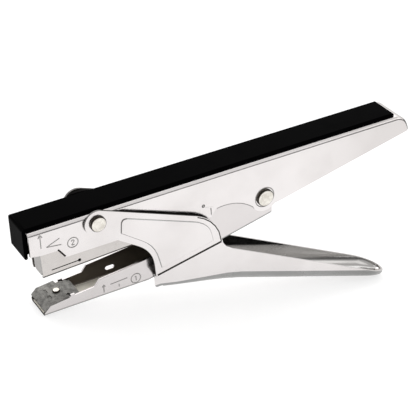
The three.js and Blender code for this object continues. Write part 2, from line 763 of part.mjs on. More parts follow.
const RAIL_FLOOR = MAGAZINE.floor + MAGAZINE.sheet + SIDE_GAP;
const RAIL_RIVET = { x: -50, shank: 0.9, head: 1.6 };
const CATCH_PIN = { at: [-26.95, 1.2], radius: 0.7 };

/** Core that the staples straddle. */
function stapleRail() {
  const { half, height, front, rear } = RAIL;
  const bar = block([front, -half, RAIL_FLOOR], [rear, half, RAIL_FLOOR + height]);
  return cut(bar, post(RAIL_RIVET.x, 0, RAIL_RIVET.shank + PIN_PLAY, -6, RAIL_FLOOR + 2.2, 14));
}

function railRivet() {
  const underside = MAGAZINE.floor - SIDE_GAP;
  return joined(
    post(RAIL_RIVET.x, 0, RAIL_RIVET.shank, underside - 0.1, RAIL_FLOOR + 2, 14),
    post(RAIL_RIVET.x, 0, RAIL_RIVET.head, underside - 0.4, underside, 14),
  );
}

/** A strip of glued staples: one inverted channel over the rail. */
function stapleStrip() {
  const { half, leg, wire: gauge, front, length } = STAPLE;
  const foot = RAIL_FLOOR + 0.1;
  const inner = half - gauge;
  const body = block([front, -half, foot], [front + length, half, foot + leg]);
  return cut(body, block([front - 1, -inner, foot - 1], [front + length + 1, inner, foot + leg - gauge]));
}

const PUSHER_FRONT = STAPLE.front + STAPLE.length + 0.3;

/** Plastic saddle that pushes the strip forward along the rail. */
function staplePusher() {
  const { half, length, height } = PUSHER;
  const foot = RAIL_FLOOR + 0.15;
  const body = block([PUSHER_FRONT, -half, foot], [PUSHER_FRONT + length, half, foot + height]);
  const straddle = block(
    [PUSHER_FRONT - 1, -RAIL.half - 0.15, foot - 1],
    [PUSHER_FRONT + length + 1, RAIL.half + 0.15, RAIL_FLOOR + RAIL.height + 0.15],
  );
  const socket = lengthwiseBar(
    PUSHER_FRONT + 2, PUSHER_FRONT + length + 1, 0, ROD.height, ROD.radius + PIN_PLAY, 12,
  );
  return cut(body, straddle, socket);
}

const rodFront = PUSHER_FRONT + 2.2;

const pusherRod = () => lengthwiseBar(rodFront, ROD.rear, 0, ROD.height, ROD.radius, 12);

/** Block fixed in the channel behind the pusher spring; the rod runs through it. */
function springAbutment() {
  const half = MAGAZINE.half - MAGAZINE.sheet - SIDE_GAP;
  const { front, thick } = ABUTMENT;
  return cut(
    block([front, -half, 2.1], [front + thick, half, 6.8]),
    lengthwiseBar(front - 1, front + thick + 1, 0, ROD.height, ROD.radius + PIN_PLAY, 12),
  );
}

const COIL = { radius: 1.15, wire: 0.22, turns: 11 };

/** Compression spring round the pusher rod. */
class CompressionSpringPath extends THREE.Curve {
  getPoint(t, target = new THREE.Vector3()) {
    const front = PUSHER_FRONT + PUSHER.length + 0.35;
    const rear = ABUTMENT.front - 0.35;
    const angle = t * COIL.turns * 2 * Math.PI;
    return target.set(
      front + (rear - front) * t,
      COIL.radius * Math.cos(angle),
      ROD.height + COIL.radius * Math.sin(angle),
    );
  }
}

/** Bracket on the rear bush that carries the magazine: two arms and a bridge. */
function magazineYoke() {
  const { half, sheet, front, top } = YOKE;
  const shape = new THREE.Shape();
  shape.moveTo(front, -1.4);
  shape.lineTo(front, top);
  shape.lineTo(0, top);
  shape.absarc(0, 0, 4.4, Math.PI / 2, -Math.PI / 2, true);
  shape.lineTo(-4, -1.4);
  const arms = cut(slab(shape, -half, half, 0, 10), block([-40, -half + sheet, -10], [20, half - sheet, 20]));
  const bridge = block([front, -half + 0.1, top - sheet], [front + 9, half - 0.1, top]);
  return cut(joined(arms, bridge), crossBar([0, 0], REAR_RIVET.bush + PIN_PLAY, -10, 10));
}

/** Pin through the channel walls that the yoke snaps against. */
const catchPin = () => crossBar(CATCH_PIN.at, CATCH_PIN.radius, -MAGAZINE.half, MAGAZINE.half, 12);

// ---- Assembly -------------------------------------------------------------------------------

/** A named mesh from a solid or a ready geometry. */
function part(name, shape, finish) {
  const geometry = shape.isBufferGeometry ? shape : geometryOf(shape);
  const mesh = new THREE.Mesh(geometry, new THREE.MeshStandardMaterial(finish));
  mesh.name = name;
  return mesh;
}

const upper = new THREE.Group();
upper.add(
  part('upper_body', upperBody(), NICKEL),
  part('top_cap', topCap(), BLACK_PLASTIC),
  part('driver_block', driverBlock(), STEEL),
  part('driver_blade', driverBlade(), STEEL),
  part('driver_rivet', driverRivet(), STEEL),
  part('front_pivot_rivet', crossRivet(FRONT_PIVOT, FRONT_RIVET, EAR_FACE + SIDE_GAP), CREAM_NICKEL),
  part('front_spacer_tube', crossTube(FRONT_PIVOT, FRONT_RIVET.tube, FRONT_RIVET.shank), STEEL),
  part('rear_pivot_rivet', crossRivet(REAR_PIVOT, REAR_RIVET, BODY.half + SIDE_GAP), CREAM_NICKEL),
  part('rear_pivot_bush', crossTube(REAR_PIVOT, REAR_RIVET.bush, REAR_RIVET.shank), STEEL),
  part('pivot_washer_left', pivotWasher(1), STEEL),
  part('pivot_washer_right', pivotWasher(-1), STEEL),
  part('return_spring', wire(new TorsionSpringPath(), SPRING.wire, 60), STEEL),
);

const handle = new THREE.Group();
handle.add(
  part('lower_handle', lowerHandle(), NICKEL),
  part('lifting_block', liftingBlock(), GREY_NYLON),
);

const jaw = new THREE.Group();
jaw.add(
  part('lower_jaw', lowerJaw(), NICKEL),
  part('anvil_plate', anvilPlate(), DARK_STEEL),
  part('anvil_spacer', anvilSpacer(), STEEL),
  part('anvil_rivet', anvilRivet(), CREAM_NICKEL),
);

const magazine = new THREE.Group();
magazine.add(
  part('magazine_channel', magazineChannel(), NICKEL),
  part('magazine_front_plate', magazineFrontPlate(), NICKEL),
  part('staple_rail', stapleRail(), STEEL),
  part('rail_rivet', railRivet(), STEEL),
  part('staple_strip', stapleStrip(), STEEL),
  part('staple_pusher', staplePusher(), GREY_NYLON),
  part('pusher_rod', pusherRod(), STEEL),
  part('spring_abutment', springAbutment(), STEEL),
  part('pusher_spring', wire(new CompressionSpringPath(), COIL.wire, 110, 6), STEEL),
  part('magazine_yoke', magazineYoke(), STEEL),
  part('catch_pin', catchPin(), STEEL),
);
magazine.position.set(REAR_PIVOT[0], 0, REAR_PIVOT[1]);
magazine.rotation.y = -MAGAZINE_TILT;

const bar = new THREE.Group();
bar.add(upper, handle, jaw, magazine);

// Tip the bar until the jaw's front lower edge and the handle's tip are level.
const TIP_ROUND = 1.6;
const tipContact = [HANDLE.tip - TIP_ROUND, handleFloor(HANDLE.tip - TIP_ROUND) + 0.4];
const standTilt = Math.atan2(JAW.sole - tipContact[1], tipContact[0] - JAW.front);
bar.rotation.y = -standTilt;

const stapler = new THREE.Group();
stapler.add(bar);
stapler.updateMatrixWorld(true);
const extent = new THREE.Box3().setFromObject(stapler, true);
const centre = extent.getCenter(new THREE.Vector3());
bar.position.set(-centre.x, 0, -extent.min.z);

export default stapler;
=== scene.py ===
"""Looks of a plier stapler: bent nickel-plated sheet, a black plastic top, steel inner parts.

Pieces are drawn in the bar frame, in millimetres: X runs from the nose to the tail along the bar,
Y across it and Z up from the cap's flat top. BarFrame places them in the row frame, in metres.
"""

import json
import logging
import math
from collections.abc import Callable, Iterable, Sequence
from dataclasses import dataclass
from enum import Enum
from typing import Any

import bmesh
import bpy
from mathutils import Matrix, Vector

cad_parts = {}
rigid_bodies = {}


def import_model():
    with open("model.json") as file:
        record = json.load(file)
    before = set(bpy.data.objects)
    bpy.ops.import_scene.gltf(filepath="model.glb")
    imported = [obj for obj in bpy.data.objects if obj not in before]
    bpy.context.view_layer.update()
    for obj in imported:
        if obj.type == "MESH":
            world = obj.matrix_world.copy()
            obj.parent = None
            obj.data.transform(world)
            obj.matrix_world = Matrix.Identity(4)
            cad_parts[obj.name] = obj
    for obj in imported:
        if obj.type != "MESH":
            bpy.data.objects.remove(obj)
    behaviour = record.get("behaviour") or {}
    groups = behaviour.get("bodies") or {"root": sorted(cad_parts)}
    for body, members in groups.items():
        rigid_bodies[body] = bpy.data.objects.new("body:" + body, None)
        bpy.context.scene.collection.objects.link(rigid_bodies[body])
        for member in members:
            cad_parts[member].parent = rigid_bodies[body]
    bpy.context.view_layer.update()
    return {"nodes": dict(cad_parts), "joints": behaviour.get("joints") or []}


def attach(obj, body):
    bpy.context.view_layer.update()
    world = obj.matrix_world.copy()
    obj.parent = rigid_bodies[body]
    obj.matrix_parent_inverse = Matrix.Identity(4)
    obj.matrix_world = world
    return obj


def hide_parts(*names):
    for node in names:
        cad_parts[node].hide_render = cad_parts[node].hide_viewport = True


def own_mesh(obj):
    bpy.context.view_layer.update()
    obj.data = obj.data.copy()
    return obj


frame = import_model()

log = logging.getLogger("stapler")

MM = 0.001
FRONT_PIVOT = (26.3, -4.5)
REAR_PIVOT = (93.6, -16.9)
MAGAZINE_TILT = math.radians(2.23)
# A face leans a way when its normal has at least this much of that direction.
LEANS = 0.3
# Radius of the corners of a long engraved line that follows an edge.
LONG_BEND = 1.5
Point = tuple[float, float, float]
# A Spot is an [x, z] in the bar frame, a Span a low and a high end.
Spot = tuple[float, float]
Span = tuple[float, float]
Colour = tuple[float, float, float]


class Slot(Enum):
    """The record's material slots."""

    NICKEL = "nickel_plate"
    CAP = "cap_plastic"
    RIVET = "rivet_nickel"
    STEEL = "bare_steel"
    SPRING = "spring_wire"
    ANVIL = "anvil_steel"
    STAPLE = "staple_wire"
    NYLON = "nylon"


class Tone(Enum):
    """Painted shade, shadow and light on only some faces of a piece, not finishes of their own."""

    SHADED_INSIDE = "nickel_inside"
    SHADED_WALL = "grip_wall"
    LIT_GRIP_FLOOR = "grip_floor"
    LIT_TROUGH = "nickel_trough"
    SHADED_BEND = "nickel_bend"
    SHADED_LEVER = "lever_nickel"
    SHADED_MAGAZINE = "magazine_nickel"
    SHEARED_AND_SHADED = "nickel_sheared"
    SHADED_STRUCK = "nickel_struck"
    SHADED_CREASE = "nickel_crease"
    SHADED_RIM = "rivet_rim"


class Body(Enum):
    """The moving bodies that pieces ride on."""

    UPPER = "upper"
    HANDLE = "handle"
    JAW = "jaw"
    MAGAZINE = "magazine"
    PUSHER = "pusher"


# ---- Frames ------------------------------------------------------------------------------------


@dataclass(frozen=True)
class BarFrame:
    """Places drawings in millimetres in the row frame, from the two pivots' places there."""

    front: Vector
    rear: Vector

    @classmethod
    def from_joints(cls, joints: Iterable[dict[str, Any]]) -> "BarFrame":
        """Reads the pivots from the record's joints.

        Args:
            joints: the record's joints.

        Returns:
            The frame through the front and the rear pivot.
        """
        places = {joint["name"]: Vector(joint["pos_m"]) for joint in joints if joint.get("pos_m")}
        return cls(places["handle_squeeze"], places["jaw_close"])

    @property
    def tilt(self) -> float:
        """The bar's rise above level.

        Returns:
            The rise in radians.
        """
        drawn = math.atan2(REAR_PIVOT[1] - FRONT_PIVOT[1], REAR_PIVOT[0] - FRONT_PIVOT[0])
        span = self.rear - self.front
        return math.atan2(span.z, span.x) - drawn

    @property
    def matrix(self) -> Matrix:
        """Where the bar frame lies.

        Returns:
            Bar millimetres to row metres.
        """
        to_pivot = Matrix.Translation((-FRONT_PIVOT[0], 0, -FRONT_PIVOT[1]))
        turned = Matrix.Rotation(-self.tilt, 4, "Y") @ Matrix.Scale(MM, 4)
        return Matrix.Translation(self.front) @ turned @ to_pivot

    @property
    def magazine(self) -> Matrix:
        """Magazine millimetres, with the origin on the rear pivot, to row metres."""
        at = Matrix.Translation((REAR_PIVOT[0], 0, REAR_PIVOT[1]))
        return self.matrix @ at @ Matrix.Rotation(-MAGAZINE_TILT, 4, "Y")

    def point(self, x: float, y: float, z: float) -> Vector:
        """A bar-frame point in the row frame."""
        return self.matrix @ Vector((x, y, z))

    def direction(self, x: float, y: float, z: float) -> Vector:
        """A bar-frame direction in the row frame, of length one."""
        return (self.matrix.to_3x3() @ Vector((x, y, z))).normalized()


BAR = BarFrame.from_joints(frame["joints"])


# ---- Node graphs -------------------------------------------------------------------------------


class Value:
    """A number socket that takes part in Python expressions by adding Math nodes."""

    def __init__(self, graph: "Graph", socket: bpy.types.NodeSocket) -> None:
        """Wraps a socket of that graph."""
        self.graph = graph
        self.socket = socket

    def _math(self, operation: str, first: Any, second: Any = None) -> "Value":
        """Adds one Math node.

        Args:
            operation: what it does.
            first: a Value or a number.
            second: another, where the operation takes two.

        Returns:
            The result.
        """
        node = self.graph.node("ShaderNodeMath", {"operation": operation})
        self.graph.feed(node.inputs[0], first)
        if second is not None:
            self.graph.feed(node.inputs[1], second)
        return Value(self.graph, node.outputs[0])

    def __add__(self, other: Any) -> "Value":
        """self + other."""
        return self._math("ADD", self, other)

    __radd__ = __add__

    def __sub__(self, other: Any) -> "Value":
        """self - other."""
        return self._math("SUBTRACT", self, other)

    def __rsub__(self, other: Any) -> "Value":
        """other - self."""
        return self._math("SUBTRACT", other, self)

    def __mul__(self, other: Any) -> "Value":
        """self * other."""
        return self._math("MULTIPLY", self, other)

    __rmul__ = __mul__

    def step(self, low: float, high: float) -> "Value":
        """A smooth step.

        Args:
            low: where it is 0.
            high: where it is 1.

        Returns:
            The step, 0 to 1.
        """
        node = self.graph.node(
            "ShaderNodeMapRange",
            {"interpolation_type": "SMOOTHSTEP"},
            {"Value": self, "From Min": low, "From Max": high},
        )
        return Value(self.graph, node.outputs[0])


class Graph:
    """Adds nodes to a shader or geometry tree."""

    def __init__(self, tree: bpy.types.NodeTree) -> None:
        """Starts on that tree."""
        self.tree = tree

    def feed(self, socket: bpy.types.NodeSocket, value: Any) -> None:
        """Links or sets one input socket.

        Args:
            socket: the input.
            value: a Value or socket to link, or a constant.
        """
        if isinstance(value, Value):
            value = value.socket
        if isinstance(value, bpy.types.NodeSocket):
            self.tree.links.new(value, socket)
        else:
            socket.default_value = value

    def node(
        self,
        kind: str,
        settings: dict[str, Any] | None = None,
        inputs: dict[Any, Any] | None = None,
    ) -> bpy.types.Node:
        """Adds one node.

        Args:
            kind: the node's type.
            settings: its properties, set first.
            inputs: its sockets' values or links, by name or index.

        Returns:
            The node.
        """
        made = self.tree.nodes.new(kind)
        for name, value in (settings or {}).items():
            setattr(made, name, value)
        for key, value in (inputs or {}).items():
            self.feed(made.inputs[key], value)
        return made

    def mix(self, factor: Any, low: Any, high: Any) -> bpy.types.NodeSocket:
        """A colour between two others.

        Args:
            factor: how much of the second it has, 0 to 1.
            low: the first colour, or a link to it.
            high: the second.

        Returns:
            The mixed colour's socket.
        """
        made = self.node("ShaderNodeMix", {"data_type": "RGBA"}, {"Factor": factor})
        ends = [s for s in made.inputs if s.type == "RGBA"]
        for socket, colour in zip(ends, (low, high)):
            self.feed(socket, (*colour, 1) if isinstance(colour, tuple) else colour)
        return next(s for s in made.outputs if s.type == "RGBA")


class MaterialGraph(Graph):
    """A material's graph round one Principled shader, with patterns in object millimetres."""

    def __init__(self, name: str, turn: float = 0.0) -> None:
        """Makes an empty material.

        Args:
            name: the material's name.
            turn: how far the patterns turn about Y, in radians.
        """
        self.material = bpy.data.materials.new(name)
        self.material.use_nodes = True
        super().__init__(self.material.node_tree)
        self.tree.nodes.clear()
        self.shader = self.node("ShaderNodeBsdfPrincipled")
        output = self.node("ShaderNodeOutputMaterial")
        self.tree.links.new(self.shader.outputs[0], output.inputs["Surface"])
        self.object_place = self.node("ShaderNodeTexCoord").outputs["Object"]
        self.turn = turn

    def place(self, stretch: Point = (1, 1, 1)) -> bpy.types.NodeSocket:
        """Object coordinates in millimetres, turned with the bar.

        Args:
            stretch: a factor per axis; a small one draws a pattern out along it.

        Returns:
            The coordinates' socket.
        """
        turned = self.node(
            "ShaderNodeMapping",
            {"vector_type": "TEXTURE"},
            {"Vector": self.object_place, "Rotation": (0, self.turn, 0), "Scale": (MM, MM, MM)},
        )
        scaled = self.node(
            "ShaderNodeMapping", None, {"Vector": turned.outputs[0], "Scale": tuple(stretch)}
        )
        return scaled.outputs[0]

    def noise(self, scale: float, detail: float = 3, stretch: Point = (1, 1, 1)) -> Value:
        """Noise.

        Args:
            scale: waves per millimetre.
            detail: how many finer layers it has.
            stretch: a factor per axis.

        Returns:
            The noise, 0 to 1.
        """
        made = self.node(
            "ShaderNodeTexNoise",
            None,
            {"Vector": self.place(stretch), "Scale": scale, "Detail": detail, "Roughness": 0.55},
        )
        return Value(self, made.outputs["Fac"])

    def bar_place(self, axis: str) -> Value:
        """A point's place in the bar frame.

        Args:
            axis: "X" or "Z".

        Returns:
            That coordinate in millimetres.
        """
        start = BAR.matrix.to_quaternion().inverted() @ BAR.point(0, 0, 0) / MM
        split = self.node("ShaderNodeSeparateXYZ", None, {0: self.place()})
        return Value(self, split.outputs[axis]) - (start.x if axis == "X" else start.z)

    def cells(self, scale: float) -> Value:
        """Distance to the nearest cell centre, with scale cells per millimetre."""
        made = self.node("ShaderNodeTexVoronoi", None, {"Vector": self.place(), "Scale": scale})
        return Value(self, made.outputs["Distance"])

    def bump(self, height: Value, depth: float, strength: float = 1.0) -> None:
        """Feeds the shader's normal from a height.

        Args:
            height: the pattern, 0 to 1.
            depth: its depth in millimetres.
            strength: how much of it shows.
        """
        made = self.node(
            "ShaderNodeBump", None, {"Height": height, "Distance": depth * MM, "Strength": strength}
        )
        self.feed(self.shader.inputs["Normal"], made.outputs["Normal"])

    def set(self, **inputs: Any) -> bpy.types.Material:
        """Sets the shader's sockets, spaces written as underscores, and returns the material."""
        for name, value in inputs.items():
            self.feed(self.shader.inputs[name.replace("_", " ")], value)
        return self.material


# ---- Materials and painted light and shade -----------------------------------------------------


POLISHED = (0.79, 0.76, 0.755)
SHADOW = (0.02, 0.02, 0.02)


@dataclass(frozen=True)
class NickelPlate:
    """Bright nickel over rolled sheet: faint rolling lines, soft smudges, small pits.

    Attributes:
        bright: its colour where it is clean.
        dull: its colour where it is smudged.
        roughness: the clean plate's roughness.
        rolling: depth of the rolling lines, in millimetres.
        metallic: 1 for plate, less where it scatters the light.
        dark_below: the Z below which the tone's painted shade holds, with polished plate above it.
        dark_above: Z at X = 0, and slope, of a line above which a shadow is painted on the wall.
        handled: the X where hands start to dull it and the X where it is all dull.
        polish_fade: how far the change above dark_below takes.
        shadow_fade: half of how far the change at dark_above takes.
    """

    bright: Colour = POLISHED
    dull: Colour = (0.66, 0.63, 0.62)
    roughness: float = 0.15
    rolling: float = 0.0012
    metallic: float = 1.0
    dark_below: float | None = None
    dark_above: tuple[float, float] | None = None
    handled: Span = (105, 162)
    polish_fade: float = 2.0
    shadow_fade: float = 0.4

    def make(self, name: str) -> bpy.types.Material:
        """Makes the material.

        Args:
            name: its name.

        Returns:
            The material.
        """
        graph = MaterialGraph(name, -BAR.tilt)
        smudge = graph.noise(0.045, 4).step(0.38, 0.72)
        wipes = graph.noise(0.35, 3, (0.25, 1, 1)).step(0.45, 0.8)
        lines = graph.noise(5.0, 2, (0.03, 1, 1))
        pits = graph.cells(1.3).step(0.07, 0.015)
        graph.bump(lines - pits * 0.6, self.rolling)
        worn = graph.bar_place("X").step(*self.handled)
        colour = graph.mix(smudge * 0.45 + pits * 0.3 + worn * 1.3, self.bright, self.dull)
        # Painted shade below dark_below, with polished plate painted above it.
        if self.dark_below is not None:
            lit = graph.bar_place("Z").step(self.dark_below, self.dark_below + self.polish_fade)
            colour = graph.mix(lit, colour, POLISHED)
        # Painted shadow: near-black above a sloping line, its edge ragged with the wipes.
        if self.dark_above is not None:
            start, slope = self.dark_above
            rise = graph.bar_place("Z") - graph.bar_place("X") * slope + wipes * 0.5
            colour = graph.mix(rise.step(start - self.shadow_fade, start + self.shadow_fade), colour, SHADOW)
        return graph.set(
            Base_Color=colour,
            Metallic=self.metallic,
            Roughness=self.roughness + 0.07 * smudge + 0.05 * wipes,
        )


@dataclass(frozen=True)
class MouldedPlastic:
    """Moulded plastic with a fine spark-eroded grain and pale scuffs."""

    colour: Colour
    scuffed: Colour
    roughness: float
    grain: float
    gloss: float

    def make(self, name: str) -> bpy.types.Material:
        """Makes the material.

        Args:
            name: its name.

        Returns:
            The material.
        """
        graph = MaterialGraph(name, -BAR.tilt)
        grain = graph.noise(6.0, 2)
        scuffs = graph.noise(1.1, 4, (0.12, 1, 1)).step(0.6, 0.82)
        cloud = graph.noise(0.08, 2).step(0.35, 0.7)
        graph.bump(grain + graph.cells(4.0) * 0.5, self.grain, 0.7)
        return graph.set(
            Base_Color=graph.mix(scuffs * 0.5 + cloud * 0.2, self.colour, self.scuffed),
            Roughness=self.roughness + 0.1 * cloud - 0.08 * scuffs,
            Specular_IOR_Level=self.gloss,
        )


@dataclass(frozen=True)
class WorkedSteel:
    """Bare or blasted steel: a main tone, a second one in patches, grains sized in millimetres."""

    colour: Colour
    patch: Colour
    roughness: float
    grain_size: float
    grain_depth: float
    drawn: Point = (1, 1, 1)

    def make(self, name: str) -> bpy.types.Material:
        """Makes the material.

        Args:
            name: its name.

        Returns:
            The material.
        """
        graph = MaterialGraph(name, -BAR.tilt)
        patches = graph.noise(0.5, 4).step(0.35, 0.7)
        grain = graph.noise(1 / self.grain_size, 3, self.drawn)
        speckle = graph.cells(0.8 / self.grain_size).step(0.15, 0.45)
        graph.bump(grain + speckle * 0.3, self.grain_depth)
        return graph.set(
            Base_Color=graph.mix(patches * 0.6 + grain.step(0.35, 0.65) * 0.4, self.colour, self.patch),
            Metallic=1.0,
            Roughness=self.roughness + 0.12 * grain - 0.05 * patches,
        )


# Slot materials first, then tones of painted shade, shadow and light.
FINISHES_AND_PAINTED_LIGHT: dict[Slot | Tone, NickelPlate | MouldedPlastic | WorkedSteel] = {
    Slot.NICKEL: NickelPlate(),
    Slot.CAP: MouldedPlastic((0.0007, 0.0007, 0.0008), (0.0025, 0.0025, 0.0028), 0.4, 0.006, 0.005),
    Slot.RIVET: WorkedSteel((0.96, 0.93, 0.87), (0.60, 0.56, 0.50), 0.36, 0.3, 0.035),
    Slot.STEEL: WorkedSteel((0.50, 0.50, 0.51), (0.36, 0.35, 0.34), 0.32, 0.12, 0.004, (0.1, 1, 1)),
    Slot.SPRING: WorkedSteel((0.42, 0.42, 0.44), (0.28, 0.27, 0.26), 0.28, 0.1, 0.003),
    Slot.ANVIL: WorkedSteel((0.28, 0.275, 0.26), (0.07, 0.068, 0.063), 0.42, 0.3, 0.06),
    Slot.STAPLE: WorkedSteel((0.72, 0.72, 0.73), (0.55, 0.56, 0.58), 0.25, 0.1, 0.003),
    Slot.NYLON: MouldedPlastic((0.30, 0.31, 0.32), (0.42, 0.43, 0.44), 0.45, 0.02, 0.4),
    # Painted shade: inner faces near-black, with polished plate painted above Z = -6.
    Tone.SHADED_INSIDE: NickelPlate((0.12, 0.105, 0.09), (0.05, 0.043, 0.038), 0.4, 0.003, dark_below=-6),
    # Painted shade and painted shadow: the grip's inner walls grey, black above a sloping line.
    Tone.SHADED_WALL: NickelPlate(
        (0.56, 0.55, 0.54), (0.42, 0.41, 0.40), 0.2, 0.002, dark_below=-6, dark_above=(-13.5, -0.345)
    ),
    # Painted light: the grip's floor lighter and glossier than the plate, as lit from above.
    Tone.LIT_GRIP_FLOOR: NickelPlate((0.86, 0.85, 0.84), (0.74, 0.73, 0.72), 0.1, 0.001),
    # Painted light: the jaw's floor pale cream and scattering, as lit from above.
    Tone.LIT_TROUGH: NickelPlate((0.98, 0.94, 0.83), (0.86, 0.81, 0.69), 0.45, 0.003, 0.1),
    # Painted shade: lower bends and the panel's border grey, as reflecting the shaded floor under the tool.
    Tone.SHADED_BEND: NickelPlate((0.36, 0.36, 0.355), (0.27, 0.27, 0.265), 0.24, 0.002),
    # Painted shade: the jaw's plate a darker copy of the nickel, as shaded under the body.
    Tone.SHADED_LEVER: NickelPlate((0.70, 0.67, 0.665), (0.60, 0.57, 0.565), 0.16, 0.0015),
    # Painted shade: the magazine's plate a darker copy of the nickel, as shaded inside the body.
    Tone.SHADED_MAGAZINE: NickelPlate((0.63, 0.60, 0.58), (0.47, 0.44, 0.42), 0.22, 0.002),
    # Cut edges: partly bare sheared steel, partly painted shade of the gaps beside them.
    Tone.SHEARED_AND_SHADED: WorkedSteel((0.22, 0.215, 0.21), (0.12, 0.115, 0.11), 0.45, 0.1, 0.006),
    # Painted shade: grey in the marks' grooves and on the magazine's cut edges.
    Tone.SHADED_STRUCK: WorkedSteel((0.42, 0.41, 0.40), (0.30, 0.29, 0.28), 0.4, 0.1, 0.004),
    # Painted shadow: near-black lines at steps and notches, and under the anvil's lip.
    Tone.SHADED_CREASE: WorkedSteel((0.06, 0.055, 0.05), (0.03, 0.028, 0.025), 0.5, 0.1, 0.004),
    # Painted shadow: the sides of rivet heads dark, where head meets plate.
    Tone.SHADED_RIM: WorkedSteel((0.05, 0.043, 0.035), (0.02, 0.018, 0.015), 0.45, 0.15, 0.006),
}


# ---- Meshes ------------------------------------------------------------------------------------


def mesh_object(
    name: str, points: Sequence[Any], faces: Sequence[Any], edges: Sequence[Any] = ()
) -> bpy.types.Object:
    """Makes an object from points and faces, or points and edges.

    Args:
        name: its name.
        points: the corners.
        faces: corner numbers of each face.
        edges: corner numbers of each loose edge.

    Returns:
        The object.
    """
    mesh = bpy.data.meshes.new(name)
    mesh.from_pydata([tuple(p) for p in points], list(edges), list(faces))
    made = bpy.data.objects.new(name, mesh)
    bpy.context.scene.collection.objects.link(made)
    return made


def apply_modifiers(piece: bpy.types.Object) -> None:
    """Turns a piece with modifiers into its plain evaluated mesh.

    Args:
        piece: the piece.
    """
    graph = bpy.context.evaluated_depsgraph_get()
    graph.update()
    mesh = bpy.data.meshes.new_from_object(piece.evaluated_get(graph))
    old = piece.data
    piece.modifiers.clear()
    piece.data = mesh
    if old.users == 0:
        bpy.data.meshes.remove(old)


def carve(piece: bpy.types.Object, tools: Sequence[bpy.types.Object]) -> None:
    """Cuts closed tools from a piece in one go and uses them up.

    Args:
        piece: the piece to cut.
        tools: the tools, in the piece's own place.
    """
    work = bmesh.new()
    for tool in tools:
        work.from_mesh(tool.data)
        bpy.data.objects.remove(tool)
    merged = mesh_object("tools", [], [])
    work.to_mesh(merged.data)
    work.free()
    cut = piece.modifiers.new("carve", "BOOLEAN")
    cut.operation = "DIFFERENCE"
    cut.solver = "EXACT"
    cut.use_self = True
    cut.use_hole_tolerant = True
    cut.object = merged
    apply_modifiers(piece)
    bpy.data.objects.remove(merged)


def face_out(piece: bpy.types.Object) -> None:
    """Points every face of a closed piece outward.

    Args:
        piece: the piece.
    """
    work = bmesh.new()
    work.from_mesh(piece.data)
    bmesh.ops.remove_doubles(work, verts=work.verts, dist=1e-4)
    bmesh.ops.recalc_face_normals(work, faces=work.faces)
    work.to_mesh(piece.data)
    work.free()


def place(piece: bpy.types.Object, matrix: Matrix) -> bpy.types.Object:
    """Moves a drawing in millimetres to its place in its mesh.

    Args:
        piece: the drawing.
        matrix: its frame, in the row frame.

    Returns:
        The same object.
    """
    piece.data.transform(matrix)
    piece.data.update()
    return piece


@dataclass(frozen=True)
class Softening:
    """How a copy of a CAD solid is finished: rounded edges, smooth bends; lengths in millimetres."""

    width: float = 0.14
    segments: int = 2
    sharp: float = math.radians(32)
    flat: float = math.radians(0.4)
    crisp: float = math.radians(50)
    weld: float = 0.002

    def copy_of(self, node: str, name: str) -> bpy.types.Object:
        """A merged copy of a CAD node with its coplanar triangles joined.

        Args:
            node: the CAD node.
            name: the new piece's name.

        Returns:
            The new object, in bar millimetres.
        """
        mesh = frame["nodes"][node].data.copy()
        piece = bpy.data.objects.new(name, mesh)
        bpy.context.scene.collection.objects.link(piece)
        work = bmesh.new()
        work.from_mesh(mesh)
        work.transform(BAR.matrix.inverted())
        bmesh.ops.remove_doubles(work, verts=work.verts, dist=self.weld)
        bmesh.ops.dissolve_degenerate(work, edges=work.edges, dist=self.weld)
        bmesh.ops.dissolve_limit(work, angle_limit=self.flat, verts=work.verts, edges=work.edges)
        work.to_mesh(mesh)
        work.free()
        return piece

    def round_edges(self, piece: bpy.types.Object) -> None:
        """Rounds sharp edges.

        Args:
            piece: the piece.
        """
        bevel = piece.modifiers.new("edges", "BEVEL")
        bevel.width = self.width
        bevel.segments = self.segments
        bevel.limit_method = "ANGLE"
        bevel.angle_limit = self.sharp
        bevel.use_clamp_overlap = True
        bevel.miter_outer = "MITER_ARC"
        apply_modifiers(piece)

    def shade(self, piece: bpy.types.Object) -> None:
        """Shades faces smooth, with flat faces kept flat.

        Args:
            piece: the piece.
        """
        piece.data.polygons.foreach_set("use_smooth", [True] * len(piece.data.polygons))
        piece.data.set_sharp_from_angle(angle=self.crisp)
        weigh = piece.modifiers.new("weights", "WEIGHTED_NORMAL")
        weigh.mode = "FACE_AREA"
        weigh.keep_sharp = True
        apply_modifiers(piece)


def lathe(name: str, centre: Spot, profile: Sequence[Spot], sides: int = 64) -> bpy.types.Object:
    """A closed solid turned about the axis across the tool.

    Args:
        name: the object's name.
        centre: the axis, as [x, z] in the bar frame.
        profile: [radius, y] from one pole to the other.
        sides: segments round the axis.

    Returns:
        The object, in bar millimetres.
    """
    points: list[Point] = []
    rings: list[list[int]] = []
    for radius, y in profile:
        if radius == 0:
            rings.append([len(points)])
            points.append((centre[0], y, centre[1]))
            continue
        rings.append(list(range(len(points), len(points) + sides)))
        for i in range(sides):
            angle = 2 * math.pi * i / sides
            points.append((centre[0] + radius * math.cos(angle), y, centre[1] + radius * math.sin(angle)))
    faces: list[tuple[int, ...]] = []
    for low, high in zip(rings, rings[1:]):
        for i in range(sides):
            j = (i + 1) % sides
            corners = [low[i % len(low)], low[j % len(low)], high[j % len(high)], high[i % len(high)]]
            faces.append(tuple(dict.fromkeys(corners)))
    made = mesh_object(name, points, faces)
    face_out(made)
    return made


